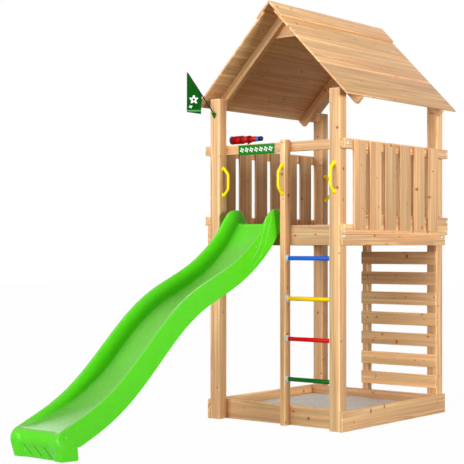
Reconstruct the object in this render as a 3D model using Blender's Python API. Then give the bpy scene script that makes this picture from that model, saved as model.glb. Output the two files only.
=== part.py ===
"""Wooden play tower with a gable roof and a wavy slide, in metres, with +Z up.

The origin is the middle of the tower's footprint on the ground. The slide runs down towards -Y.
"""

import math

import bmesh
import bpy
from mathutils import Vector

# Sizes that the pieces share
GAP = 0.0003
TOWER_WIDTH = 1.174
TOWER_DEPTH = 1.430
HALF_W = TOWER_WIDTH / 2
HALF_D = TOWER_DEPTH / 2
POST = 0.090
POST_HEIGHT = 2.400
POST_ROUND = 0.008
BOARD_THICK = 0.022
BOARD_HIGH = 0.145
RAIL_THICK = 0.045
RAIL_HIGH = 0.070
EDGE_ROUND = 0.003
SHARP_ANGLE = 0.5
POST_SIDE = HALF_W - POST
POST_INNER = HALF_D - POST

# Sandbox and deck
SAND_DEEP = 0.080
DECK_TOP = 1.447
DECK_UNDER = DECK_TOP - BOARD_HIGH
DECK_BOARDS = 8
DECK_JOINT = 0.006
BATTEN = 0.045
STRIP_HIGH = 0.067

# Rails and palisades
RAIL_OUTER = HALF_W + GAP + RAIL_THICK
SIDE_RAIL_LOW = DECK_TOP + 0.528
LOW_RAIL_LOW = DECK_TOP + GAP
LOW_RAIL_START = 0.185
FRONT_RAIL_TOP = DECK_TOP + 0.605
PALE_THICK = 0.018
PALE_WIDE = 0.146
PALE_ROUND = 0.002
PALE_TOP = DECK_TOP + 0.588
PALE_LAP = 0.037
SIDE_PALES = 6
REAR_PALES = 4
PALISADE_START = 0.0925
PALISADE_END = 0.1815
REAR_WALL_WIDE = 0.686
REAR_PALE_MARGIN = 0.009

# Ladder and climbing slats
LADDER_CLEAR = 0.398
STILE_RIGHT = POST_SIDE - LADDER_CLEAR
STILE_LEFT = STILE_RIGHT - RAIL_THICK
STILE_TOP = DECK_TOP + 0.618
REAR_STILE = HALF_W - REAR_WALL_WIDE
RUNGS = 4
RUNG_FIRST = 0.338
RUNG_TO_DECK = 0.239
RUNG_PITCH = (DECK_TOP - RUNG_TO_DECK - RUNG_FIRST) / (RUNGS - 1)
RUNG_SET_BACK = 0.050
RUNG_RADIUS = 0.016
FLANGE_RADIUS = 0.026
FLANGE_THICK = 0.012
FLANGE_ROUND = 0.003
SLATS = 7
SLAT_HIGH = 0.100
SLAT_FIRST = 0.193
SLAT_TO_BEAM = 0.049
SLAT_PITCH = (DECK_UNDER - SLAT_TO_BEAM - SLAT_HIGH - SLAT_FIRST) / (SLATS - 1)

# Grab handles
HANDLE_SPAN = 0.196
HANDLE_LOW = DECK_TOP + 0.231
HANDLE_REACH = 0.050
HANDLE_BAR = 0.0105
HANDLE_FOOT = 0.018
HANDLE_BEND = 0.044

# Roof: one slope is laid out along its own direction and mirrored for the other
ROOF_ANGLE = math.radians(45.6)
ROOF_CLEAR = 0.0476
ROOF_APEX = POST_HEIGHT + ROOF_CLEAR + HALF_W * math.tan(ROOF_ANGLE)
EAVE_OVERHANG = 0.136
ROOF_LENGTH = HALF_W / math.cos(ROOF_ANGLE) + EAVE_OVERHANG
VERGE_OVERHANG = 0.045
ROOF_HALF = HALF_D + VERGE_OVERHANG
ROOF_THICK = 0.014
CAP_WIDE = 0.150
CAP_THICK = 0.014
UPPER_START = 0.075
MIDDLE_START = 0.385
EAVE_START = 0.650
ROOF_JOINT = 0.0015
RAFTER_DEEP = 0.062
RAFTER_THICK = 0.045
RAFTER_STAND_OFF = 0.040
RAFTER_TAIL = 0.006
PACKER_WIDE = 0.055
PACKER_LOW = POST_HEIGHT - 0.070
PACKER_TOP = POST_HEIGHT - 0.005
PACKER_BITE = 0.010

# Slide: its rim runs down a straight fall with a wave on it, then turns over the toe
SLIDE_SHARE = 0.5154
SLIDE_MIDDLE = -POST_SIDE + (STILE_LEFT + POST_SIDE) * SLIDE_SHARE
SLIDE_HALF_TOP = 0.205
SKIRT_SPREAD = 0.030
TOE_SPREAD = 0.010
RIM_WIDE = 0.022
TOE_RIM_SPREAD = 0.045
RIM_HEIGHT = DECK_TOP + 0.0538
TOE_RIM_HEIGHT = 0.181
TOE_REACH = 2.065
WAVES = 1.5763
WAVE_HIGH = 0.052
RIM_FALL = (
    RIM_HEIGHT - TOE_RIM_HEIGHT - WAVE_HIGH * math.sin(math.tau * WAVES)
) / TOE_REACH
CREST_LIFT = 0.042
CREST_LONG = 0.100
CREST_TOP = DECK_TOP + 0.1165
CREST_BACK = -0.125
SLIDE_BACK = -0.225
BACK_LIP = 0.022
DECK_REST = DECK_TOP + GAP
BEAM_REACH = -(POST - 0.002)
SKIRT_DEEP = 0.140
SKIRT_THICK = 0.012
BED_DEEP = 0.122
BED_THICK = 0.010
BED_LEAST = 0.004
BED_FADE = 3.0
BED_CORNER = 0.022
TOE_ROUND = 0.070
TOE_LEAN = math.radians(-108)
TOE_RECESS = 0.020
HEEL_REACH = TOE_REACH - 0.098
HEEL_HIGH = 0.080
SLIDE_RIBS = 34
TOE_RIBS = 8

# Telescope on a bracket behind the front rail: it turns on a stud and tilts on a pin
RAIL_BACK = -POST_INNER + GAP + RAIL_THICK
SCOPE_FRONT = 0.163
SCOPE_REAR = 0.128
SCOPE_RADIUS = 0.0325
PAN_LIMIT = math.radians(10)
SCOPE_X = -POST_SIDE + 0.125
SCOPE_Y = RAIL_BACK + SCOPE_RADIUS + SCOPE_FRONT * math.sin(PAN_LIMIT) + 0.0015
TILT_Z = FRONT_RAIL_TOP + 0.005
SCOPE_Z = TILT_Z + 0.043
PLATE_THICK = 0.006
PLATE_HALF = 0.020
PLATE_HIGH = 0.044
SHELF_TOP = TILT_Z - 0.023
HEAD_RADIUS = 0.016
HEAD_THICK = 0.008
LUG_HALF = 0.005
LUG_REACH = 0.007
EAR_THICK = 0.005
EAR_HALF = 0.008
PIN_RADIUS = 0.004
STUD_RADIUS = 0.005
PIN_FIT = 0.0004

# Flag on a leaning pole, in a cup on the front left post
CUP_X = -HALF_W + 0.0453
CUP_LOW = POST_HEIGHT - 0.147
CUP_HIGH = 0.041
CUP_RADIUS = 0.019
CUP_TIP = 0.003
CUP_STAND_OFF = 0.8
POLE_RADIUS = 0.0045
POLE_LEAN = Vector((-0.1618, -0.1095, 0.3035))
CLOTH_THICK = 0.0016
CLOTH_END = 0.58
CLOTH_LOW = CUP_LOW + 0.031
CLOTH_RISE = 0.017
CLOTH_COLUMNS = 8
CLOTH_ROWS = 8
CLOTH_WAVE = 0.006

# Sign on the front rail
SIGN_LEFT = -POST_SIDE + 0.115
SIGN_LONG = 0.335
SIGN_THICK = 0.004
SIGN_HIGH = 0.075
SIGN_BELOW_TOP = 0.004

# Looks: colour, roughness and metallic
TIMBER_ROUGH = 0.62
SAND_ROUGH = 0.95
GLOSS_ROUGH = 0.35
SATIN_ROUGH = 0.45
NOT_METAL = 0.0
PINE = ((0.79, 0.50, 0.25), TIMBER_ROUGH, NOT_METAL)
SAND = ((0.62, 0.60, 0.55), SAND_ROUGH, NOT_METAL)
SLIDE_GREEN = ((0.13, 0.75, 0.02), GLOSS_ROUGH, NOT_METAL)
YELLOW = ((1.0, 0.80, 0.0), GLOSS_ROUGH, NOT_METAL)
RED = ((0.80, 0.0, 0.0), GLOSS_ROUGH, NOT_METAL)
BLUE = ((0.01, 0.13, 0.68), GLOSS_ROUGH, NOT_METAL)
DARK_GREEN = ((0.0, 0.16, 0.0), SATIN_ROUGH, NOT_METAL)
BRACKET_GREY = ((0.10, 0.11, 0.12), SATIN_ROUGH, NOT_METAL)


def clear_scene():
    for old in list(bpy.data.objects):
        bpy.data.objects.remove(old, do_unlink=True)


def make_material(name, colour, roughness, metallic):
    material = bpy.data.materials.new(name)
    material.use_nodes = True
    shader = material.node_tree.nodes["Principled BSDF"]
    shader.inputs["Base Color"].default_value = (*colour, 1.0)
    shader.inputs["Roughness"].default_value = roughness
    shader.inputs["Metallic"].default_value = metallic
    return material


def add_object(name, mesh_data, look, at=(0.0, 0.0, 0.0)):
    """Turns a bmesh in world places into an object whose origin is at the given point."""
    bmesh.ops.translate(mesh_data, verts=mesh_data.verts, vec=-Vector(at))
    bmesh.ops.recalc_face_normals(mesh_data, faces=mesh_data.faces)
    mesh = bpy.data.meshes.new(name)
    mesh_data.to_mesh(mesh)
    mesh_data.free()
    made = bpy.data.objects.new(name, mesh)
    made.location = at
    colour, roughness, metallic = look
    mesh.materials.append(make_material(name + "_look", colour, roughness, metallic))
    bpy.context.scene.collection.objects.link(made)
    return made


def add_boolean(kept, mesh_data, operation):
    """Joins a second closed body to an object, or cuts it out, with a hidden helper."""
    helper = add_object(kept.name + "_" + operation.lower(), mesh_data, BRACKET_GREY)
    helper.hide_render = True
    helper.display_type = "WIRE"
    step = kept.modifiers.new(operation.lower(), "BOOLEAN")
    step.operation = operation
    step.solver = "EXACT"
    step.object = helper


def round_edges(mesh_data, size, steps=1):
    """Rounds the edges where two flat faces meet at an angle."""
    sharp = [edge for edge in mesh_data.edges if edge.calc_face_angle(0.0) > SHARP_ANGLE]
    bmesh.ops.bevel(
        mesh_data, geom=sharp, offset=size, segments=steps, profile=0.5, affect="EDGES"
    )


def box_mesh(x_span, y_span, z_span):
    mesh_data = bmesh.new()
    bmesh.ops.create_cube(mesh_data, size=1.0)
    size = Vector((x_span[1] - x_span[0], y_span[1] - y_span[0], z_span[1] - z_span[0]))
    middle = Vector((sum(x_span), sum(y_span), sum(z_span))) / 2
    bmesh.ops.scale(mesh_data, vec=size, verts=mesh_data.verts)
    bmesh.ops.translate(mesh_data, vec=middle, verts=mesh_data.verts)
    return mesh_data


def add_box(name, x_span, y_span, z_span, look, rounding=EDGE_ROUND, steps=1):
    mesh_data = box_mesh(x_span, y_span, z_span)
    if rounding:
        round_edges(mesh_data, rounding, steps)
    return add_object(name, mesh_data, look)


def union_mesh(boxes):
    """One closed skin round several boxes that share faces or overlap."""
    stops = [sorted({round(end, 6) for box in boxes for end in box[axis]}) for axis in range(3)]
    filled = set()
    for box in boxes:
        spans = []
        for axis in range(3):
            low = stops[axis].index(round(box[axis][0], 6))
            high = stops[axis].index(round(box[axis][1], 6))
            spans.append(range(low, high))
        filled |= {(i, j, k) for i in spans[0] for j in spans[1] for k in spans[2]}
    mesh_data = bmesh.new()
    corners = {}

    def corner(i, j, k):
        if (i, j, k) not in corners:
            corners[i, j, k] = mesh_data.verts.new((stops[0][i], stops[1][j], stops[2][k]))
        return corners[i, j, k]

    for cell in filled:
        for axis in range(3):
            for side in (0, 1):
                beside = list(cell)
                beside[axis] += 1 if side else -1
                if tuple(beside) in filled:
                    continue
                first, second = [other for other in range(3) if other != axis]
                ring = []
                for step_a, step_b in ((0, 0), (1, 0), (1, 1), (0, 1)):
                    place = list(cell)
                    place[axis] += side
                    place[first] += step_a
                    place[second] += step_b
                    ring.append(corner(*place))
                mesh_data.faces.new(ring)
    bmesh.ops.recalc_face_normals(mesh_data, faces=mesh_data.faces)
    bmesh.ops.dissolve_limit(
        mesh_data, angle_limit=0.01, verts=mesh_data.verts, edges=mesh_data.edges
    )
    return mesh_data


def ring_skin(rings):
    """Joins rings of points into one closed skin with flat ends."""
    mesh_data = bmesh.new()
    rows = [[mesh_data.verts.new(point) for point in ring] for ring in rings]
    for row, after in zip(rows, rows[1:]):
        for here in range(len(row)):
            beyond = (here + 1) % len(row)
            mesh_data.faces.new((row[here], row[beyond], after[beyond], after[here]))
    mesh_data.faces.new(rows[0][::-1])
    mesh_data.faces.new(rows[-1])
    return mesh_data


def turned_mesh(stations, start, direction, sides=24):
    """A body of revolution from (distance along, radius) pairs."""
    along = Vector(direction).normalized()
    turn = along.to_track_quat("Z", "Y").to_matrix()
    rings = []
    for distance, radius in stations:
        ring = []
        for index in range(sides):
            angle = math.tau * index / sides
            flat = Vector((radius * math.cos(angle), radius * math.sin(angle), distance))
            ring.append(Vector(start) + turn @ flat)
        rings.append(ring)
    return ring_skin(rings)


def swept_mesh(path, sides=12):
    """A round bar from (point, radius) pairs, with its rings square to the path."""
    points = [Vector(point) for point, _ in path]
    rings = []
    side_way = None
    for index, (_, radius) in enumerate(path):
        before = points[max(index - 1, 0)]
        after = points[min(index + 1, len(points) - 1)]
        along = (after - before).normalized()
        if side_way is None:
            side_way = along.orthogonal().normalized()
        side_way = (side_way - along * side_way.dot(along)).normalized()
        other_way = along.cross(side_way)
        ring = []
        for step in range(sides):
            angle = math.tau * step / sides
            around = side_way * math.cos(angle) + other_way * math.sin(angle)
            ring.append(points[index] + around * radius)
        rings.append(ring)
    return ring_skin(rings)


def mirrored_span(side, near, far):
    """The span between two distances from the middle, on the side given by +1 or -1."""
    return tuple(sorted((side * near, side * far)))


def build_posts():
    for side_name, side in (("left", -1), ("right", 1)):
        for end_name, end in (("front", -1), ("rear", 1)):
            x_span = mirrored_span(side, POST_SIDE, HALF_W)
            y_span = mirrored_span(end, POST_INNER, HALF_D)
            name = "post_" + end_name + "_" + side_name
            add_box(name, x_span, y_span, (0.0, POST_HEIGHT), PINE, POST_ROUND, 2)


def build_sandbox():
    outer = HALF_W + GAP + BOARD_THICK
    whole_x = (-HALF_W, HALF_W)
    whole_y = (-HALF_D, HALF_D)
    z_span = (0.0, BOARD_HIGH)
    for side_name, side in (("left", -1), ("right", 1)):
        x_span = mirrored_span(side, HALF_W + GAP, outer)
        add_box("sandbox_board_" + side_name, x_span, whole_y, z_span, PINE)
    for end_name, end in (("front", -1), ("rear", 1)):
        y_span = mirrored_span(end, POST_INNER - GAP - BOARD_THICK, POST_INNER - GAP)
        add_box("sandbox_board_" + end_name, whole_x, y_span, z_span, PINE)
    sand_x = HALF_W - GAP
    sand_y = POST_INNER - 2 * GAP - BOARD_THICK
    add_box("sand_bed", (-sand_x, sand_x), (-sand_y, sand_y), (0.0, SAND_DEEP), SAND, 0.0)


def build_deck():
    z_span = (DECK_UNDER, DECK_TOP)
    inner = HALF_W + GAP
    whole_y = (-HALF_D, HALF_D)
    add_box("deck_beam_left", (-inner - BOARD_THICK, -inner), whole_y, z_span, PINE)
    beam = ((inner, inner + BOARD_THICK), whole_y, z_span)
    strip = ((inner + BOARD_THICK, RAIL_OUTER), whole_y, (DECK_TOP - STRIP_HIGH, DECK_TOP))
    joined = union_mesh((beam, strip))
    round_edges(joined, EDGE_ROUND)
    add_object("deck_beam_right", joined, PINE)
    for end_name, end in (("front", -1), ("rear", 1)):
        y_span = mirrored_span(end, POST_INNER - GAP - BOARD_THICK, POST_INNER - GAP)
        add_box("deck_beam_" + end_name, (-HALF_W, HALF_W), y_span, z_span, PINE)
    # Deck boards on two battens, which run front to back against the side beams
    floor_x = HALF_W - GAP
    floor_y = POST_INNER - 2 * GAP - BOARD_THICK
    wide = (2 * floor_y - (DECK_BOARDS - 1) * DECK_JOINT) / DECK_BOARDS
    under = DECK_TOP - BOARD_THICK
    boxes = []
    for index in range(DECK_BOARDS):
        start = -floor_y + index * (wide + DECK_JOINT)
        boxes.append(((-floor_x, floor_x), (start, start + wide), (under, DECK_TOP)))
    for side in (-1, 1):
        x_span = mirrored_span(side, floor_x - BATTEN, floor_x)
        boxes.append((x_span, (-floor_y, floor_y), (under - BATTEN, under)))
    add_object("deck_floor", union_mesh(boxes), PINE)


def build_rails():
    top_span = (SIDE_RAIL_LOW, SIDE_RAIL_LOW + RAIL_HIGH)
    low_span = (LOW_RAIL_LOW, LOW_RAIL_LOW + RAIL_HIGH)
    front_span = (FRONT_RAIL_TOP - RAIL_HIGH, FRONT_RAIL_TOP)
    inner = HALF_W + GAP
    whole_y = (-HALF_D, HALF_D)
    add_box("rail_top_right", (inner, RAIL_OUTER), whole_y, top_span, PINE)
    short_y = (-HALF_D + LOW_RAIL_START, HALF_D)
    add_box("rail_low_right", (inner, RAIL_OUTER), short_y, low_span, PINE)
    add_box("rail_top_left", (-RAIL_OUTER, -inner), whole_y, top_span, PINE)
    add_box("rail_low_left", (-RAIL_OUTER, -inner), whole_y, low_span, PINE)
    front_y = (-POST_INNER + GAP, RAIL_BACK)
    add_box("rail_top_front", (-HALF_W, HALF_W), front_y, front_span, PINE)


def build_palisades():
    # The right side's boards are outside its rails, and hang over the strip below them
    right_x = (RAIL_OUTER + GAP, RAIL_OUTER + GAP + PALE_THICK)
    right_z = (DECK_TOP - PALE_LAP, PALE_TOP)
    right_first = -HALF_D + PALISADE_START
    right_last = HALF_D - PALISADE_END - PALE_WIDE
    right_pitch = (right_last - right_first) / (SIDE_PALES - 1)
    # The left side's boards are inside its rails and stand on the deck between the posts
    left_x = (-HALF_W, -HALF_W + PALE_THICK)
    left_z = (DECK_TOP + GAP, PALE_TOP)
    left_gap = (2 * POST_INNER - SIDE_PALES * PALE_WIDE) / (SIDE_PALES + 1)
    left_first = -POST_INNER + left_gap
    for index in range(SIDE_PALES):
        start = right_first + index * right_pitch
        name = "palisade_right_" + str(index + 1)
        add_box(name, right_x, (start, start + PALE_WIDE), right_z, PINE, PALE_ROUND)
        start = left_first + index * (left_gap + PALE_WIDE)
        name = "palisade_left_" + str(index + 1)
        add_box(name, left_x, (start, start + PALE_WIDE), left_z, PINE, PALE_ROUND)


def build_ladder():
    y_span = (-POST_INNER - RAIL_HIGH, -POST_INNER)
    add_box("ladder_stile", (STILE_LEFT, STILE_RIGHT), y_span, (0.0, STILE_TOP), PINE)
    start = STILE_RIGHT + GAP
    length = LADDER_CLEAR - 2 * GAP
    half = (
        (0.0, FLANGE_RADIUS - FLANGE_ROUND),
        (FLANGE_ROUND, FLANGE_RADIUS),
        (FLANGE_THICK - FLANGE_ROUND, FLANGE_RADIUS),
        (FLANGE_THICK, RUNG_RADIUS + FLANGE_ROUND),
        (FLANGE_THICK + FLANGE_ROUND, RUNG_RADIUS),
    )
    stations = half + tuple((length - along, radius) for along, radius in reversed(half))
    looks = (("green", DARK_GREEN), ("red", RED), ("yellow", YELLOW), ("blue", BLUE))
    for index, (name, look) in enumerate(looks):
        place = (start, -HALF_D + RUNG_SET_BACK, RUNG_FIRST + index * RUNG_PITCH)
        add_object("rung_" + name, turned_mesh(stations, place, (1, 0, 0)), look)


def build_climbing_wall():
    """The rear stile with its climbing slats below and its half wall of boards above."""
    back = POST_INNER - GAP
    rail_face = -RAIL_BACK
    x_span = (REAR_STILE, HALF_W)
    boxes = [((REAR_STILE, REAR_STILE + RAIL_THICK), (back, back + RAIL_HIGH), (0.0, STILE_TOP))]
    for index in range(SLATS):
        low = SLAT_FIRST + index * SLAT_PITCH
        boxes.append((x_span, (back - PALE_THICK, back), (low, low + SLAT_HIGH)))
    for top in (FRONT_RAIL_TOP, LOW_RAIL_LOW + RAIL_HIGH):
        boxes.append((x_span, (rail_face, back), (top - RAIL_HIGH, top)))
    pitch = (REAR_WALL_WIDE - PALE_WIDE - REAR_PALE_MARGIN) / (REAR_PALES - 1)
    for index in range(REAR_PALES):
        start = REAR_STILE + index * pitch
        y_span = (rail_face - PALE_THICK, rail_face)
        boxes.append(((start, start + PALE_WIDE), y_span, (LOW_RAIL_LOW, PALE_TOP)))
    add_object("climbing_wall", union_mesh(boxes), PINE)


def handle_path(foot, outward):
    """A grab handle with a bolted foot at each end and a straight middle that stands off."""
    out = Vector(outward)
    rise = Vector((0, 0, 1))
    base = Vector(foot)
    diagonal = HANDLE_BEND - 2 * HANDLE_BAR
    lower = (
        (0.0, GAP, HANDLE_FOOT * 0.85),
        (0.0, HANDLE_FOOT * 0.25, HANDLE_FOOT),
        (0.0, HANDLE_FOOT * 0.70, HANDLE_FOOT * 0.90),
        (HANDLE_BEND * 0.12, HANDLE_REACH * 0.40, HANDLE_BAR * 1.15),
        (HANDLE_BEND * 0.20, HANDLE_REACH * 0.50, HANDLE_BAR),
        (diagonal + HANDLE_BAR, HANDLE_REACH * 0.92, HANDLE_BAR),
        (HANDLE_BEND * 0.88, HANDLE_REACH * 0.985, HANDLE_BAR),
        (HANDLE_BEND, HANDLE_REACH, HANDLE_BAR),
    )
    path = [(base + rise * height + out * off, radius) for height, off, radius in lower]
    for height, off, radius in reversed(lower):
        path.append((base + rise * (HANDLE_SPAN - height) + out * off, radius))
    return path


def build_handles():
    stile_middle = (STILE_LEFT + STILE_RIGHT) / 2
    post_middle = HALF_D - POST / 2
    places = (
        ("handle_slide_left", (-POST_SIDE, -post_middle, HANDLE_LOW), (1, 0, 0)),
        ("handle_stile", (stile_middle, -POST_INNER - RAIL_HIGH, HANDLE_LOW), (0, -1, 0)),
        ("handle_front_post", (HALF_W - POST / 2, -HALF_D, HANDLE_LOW), (0, -1, 0)),
        ("handle_rear_post", (-POST_SIDE, post_middle, HANDLE_LOW), (1, 0, 0)),
    )
    for name, foot, outward in places:
        add_object(name, swept_mesh(handle_path(foot, outward)), YELLOW)


def ridge_end(depth):
    """Where a piece at this depth stops, just short of the plane through the ridge."""
    return depth * math.tan(ROOF_ANGLE) + GAP


def slope_prism(side, outline, y_span):
    """A straight piece from (distance down the slope, depth under it) corners."""
    down = Vector((side * math.cos(ROOF_ANGLE), 0, -math.sin(ROOF_ANGLE)))
    inward = Vector((-side * math.sin(ROOF_ANGLE), 0, -math.cos(ROOF_ANGLE)))
    apex = Vector((0, 0, ROOF_APEX))
    rings = []
    for y_place in y_span:
        ring = []
        for distance, depth in outline:
            ring.append(apex + down * distance + inward * depth + Vector((0, y_place, 0)))
        rings.append(ring)
    return ring_skin(rings)


def build_roof_slope(side_name, side):
    whole_y = (-ROOF_HALF, ROOF_HALF)
    boards = (
        ("upper", UPPER_START, MIDDLE_START - ROOF_JOINT),
        ("middle", MIDDLE_START, EAVE_START - ROOF_JOINT),
        ("eave", EAVE_START, ROOF_LENGTH),
    )
    for name, high, low in boards:
        outline = ((high, 0.0), (low, 0.0), (low, ROOF_THICK), (high, ROOF_THICK))
        piece = slope_prism(side, outline, whole_y)
        round_edges(piece, PALE_ROUND)
        add_object("roof_board_" + name + "_" + side_name, piece, PINE)
    cap_top = -GAP - CAP_THICK
    outline = (
        (ridge_end(cap_top), cap_top),
        (CAP_WIDE, cap_top),
        (CAP_WIDE, -GAP),
        (ridge_end(-GAP), -GAP),
    )
    piece = slope_prism(side, outline, whole_y)
    round_edges(piece, PALE_ROUND)
    add_object("ridge_board_" + side_name, piece, PINE)


def build_rafters(end_name, end):
    """A pair of rafters, each with the packer between it and its post."""
    outer = POST_INNER - RAFTER_STAND_OFF
    inner = outer - RAFTER_THICK
    top = ROOF_THICK + GAP
    low = top + RAFTER_DEEP
    tail = ROOF_LENGTH + RAFTER_TAIL
    for side_name, side in (("left", -1), ("right", 1)):
        outline = ((ridge_end(top), top), (tail, top), (tail, low), (ridge_end(low), low))
        mesh_data = slope_prism(side, outline, mirrored_span(end, inner, outer))
        round_edges(mesh_data, PALE_ROUND)
        rafter = add_object("rafter_" + end_name + "_" + side_name, mesh_data, PINE)
        # The front packers sit at their posts' left edges and the rear ones at the right
        post_left = POST_SIDE if side > 0 else -HALF_W
        start = post_left if end < 0 else post_left + POST - PACKER_WIDE
        packer = box_mesh(
            (start, start + PACKER_WIDE),
            mirrored_span(end, outer - PACKER_BITE, POST_INNER - GAP),
            (PACKER_LOW, PACKER_TOP),
        )
        add_boolean(rafter, packer, "UNION")


def build_roof():
    for side_name, side in (("left", -1), ("right", 1)):
        build_roof_slope(side_name, side)
    for end_name, end in (("front", -1), ("rear", 1)):
        build_rafters(end_name, end)


def rim_height(reach):
    """Height of the rim at this distance in front of the posts' front face."""
    wave = WAVE_HIGH * math.sin(math.tau * WAVES * reach / TOE_REACH)
    crest = CREST_LIFT * math.exp(-((reach / CREST_LONG) ** 2))
    return RIM_HEIGHT - RIM_FALL * reach - wave + crest


def rim_slope(reach):
    step = 0.001
    return (rim_height(reach + step) - rim_height(reach - step)) / (2 * step)


def crest_ribs():
    """The walls rise from the deck end of the slide and run level over its crest."""
    ribs = []
    steps = 5
    low = DECK_REST + BACK_LIP
    for step in range(steps):
        share = step / (steps - 1)
        ease = share * share * (3 - 2 * share)
        reach = SLIDE_BACK + (CREST_BACK - SLIDE_BACK) * share
        top = low + (CREST_TOP - low) * ease
        ribs.append(((reach, top), (reach, DECK_REST), top - DECK_REST - BED_THICK))
    deep = CREST_TOP - DECK_REST
    middle = (CREST_BACK + BEAM_REACH) / 2
    ribs.append(((middle, CREST_TOP), (middle, DECK_REST), deep - BED_THICK))
    ribs.append(
        ((BEAM_REACH * 0.70, CREST_TOP), (BEAM_REACH, DECK_REST), deep - BED_THICK * 0.9)
    )
    turn_reach = BEAM_REACH * 0.34
    turn_top = CREST_TOP - CREST_LIFT * 0.10
    foot = (BEAM_REACH + GAP, DECK_REST - BED_THICK * 0.4)
    ribs.append(((turn_reach, turn_top), foot, deep))
    return ribs


def run_ribs():
    """The main run, with the skirt square to the rim."""
    ribs = []
    for step in range(SLIDE_RIBS):
        share = step / (SLIDE_RIBS - 1)
        reach = TOE_REACH * share
        slope = rim_slope(reach)
        long = math.hypot(1, slope)
        foot_reach = reach + slope * SKIRT_DEEP / long
        foot_height = rim_height(reach) - SKIRT_DEEP / long
        foot_reach = min(max(foot_reach, BEAM_REACH + 2 * GAP), HEEL_REACH)
        foot = (foot_reach, max(foot_height, HEEL_HIGH))
        bed = BED_DEEP * min(1.0, (1.0 - share) * BED_FADE) ** 0.8 + BED_LEAST
        ribs.append(((reach, rim_height(reach)), foot, bed))
    return ribs


def toe_ribs():
    """The rounded toe and the front face that leans back to the ground."""
    angle_from = math.atan2(rim_slope(TOE_REACH), 1)
    turn = (TOE_LEAN - angle_from) / TOE_RIBS
    place = Vector((TOE_REACH, rim_height(TOE_REACH)))
    ribs = []
    for index in range(TOE_RIBS):
        middle = angle_from + turn * (index + 0.5)
        place = place + Vector((math.cos(middle), math.sin(middle))) * TOE_ROUND * abs(turn)
        share = (index + 1) / TOE_RIBS
        foot = (HEEL_REACH, HEEL_HIGH * (1 - 0.75 * share))
        ribs.append((tuple(place), foot, BED_LEAST + (TOE_RECESS - BED_LEAST) * share, share))
    lean = Vector((math.cos(TOE_LEAN), math.sin(TOE_LEAN)))
    down = place + lean * (place.y / -lean.y)
    ribs.append((tuple(down), (HEEL_REACH, 0.0), TOE_RECESS, 1.0))
    return ribs


def slide_section(rim, foot, bed, toe_share=0.0):
    """Points of the channel's section, right side first, between one rim and foot."""
    rim = Vector(rim)
    foot = Vector(foot)
    deep = (rim - foot).length
    up = (rim - foot) / deep
    top = SLIDE_HALF_TOP + TOE_SPREAD * toe_share
    flare = SKIRT_SPREAD * min(1.0, deep / SKIRT_DEEP)
    under = min(bed + BED_THICK, deep - 0.2 * BED_THICK)
    corner = min(BED_CORNER, bed * 0.5)
    outside = top + flare * under / deep
    inner = top - RIM_WIDE - TOE_RIM_SPREAD * toe_share
    half = (
        (top + flare, 0.0),
        (top + 0.05 * RIM_WIDE, deep - 0.35 * RIM_WIDE),
        (top - 0.18 * RIM_WIDE, deep - 0.05 * RIM_WIDE),
        (top - 0.50 * RIM_WIDE, deep),
        (inner, deep - min(0.1 * RIM_WIDE, bed * 0.3)),
        (inner - 0.2 * BED_CORNER, deep - min(0.45 * RIM_WIDE, bed * 0.5)),
        (inner - 0.7 * BED_CORNER, deep - bed + corner),
        (inner - 0.9 * BED_CORNER, deep - bed + corner * 0.4),
        (inner - 1.3 * BED_CORNER, deep - bed + corner * 0.1),
        (inner - 2.1 * BED_CORNER, deep - bed),
    )
    inside = (
        (top + flare - SKIRT_THICK, 0.0),
        (outside - SKIRT_THICK, deep - under),
    )
    mirrored = tuple((-x, v) for x, v in reversed(half))
    mirrored_inside = tuple((-x, v) for x, v in inside)
    ring = []
    for x, v in half + mirrored + mirrored_inside + inside[::-1]:
        spot = foot + up * v
        ring.append(Vector((SLIDE_MIDDLE + x, -HALF_D - spot.x, spot.y)))
    return ring


def build_slide():
    ribs = crest_ribs() + run_ribs() + toe_ribs()
    add_object("slide", ring_skin([slide_section(*rib) for rib in ribs]), SLIDE_GREEN)


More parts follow.
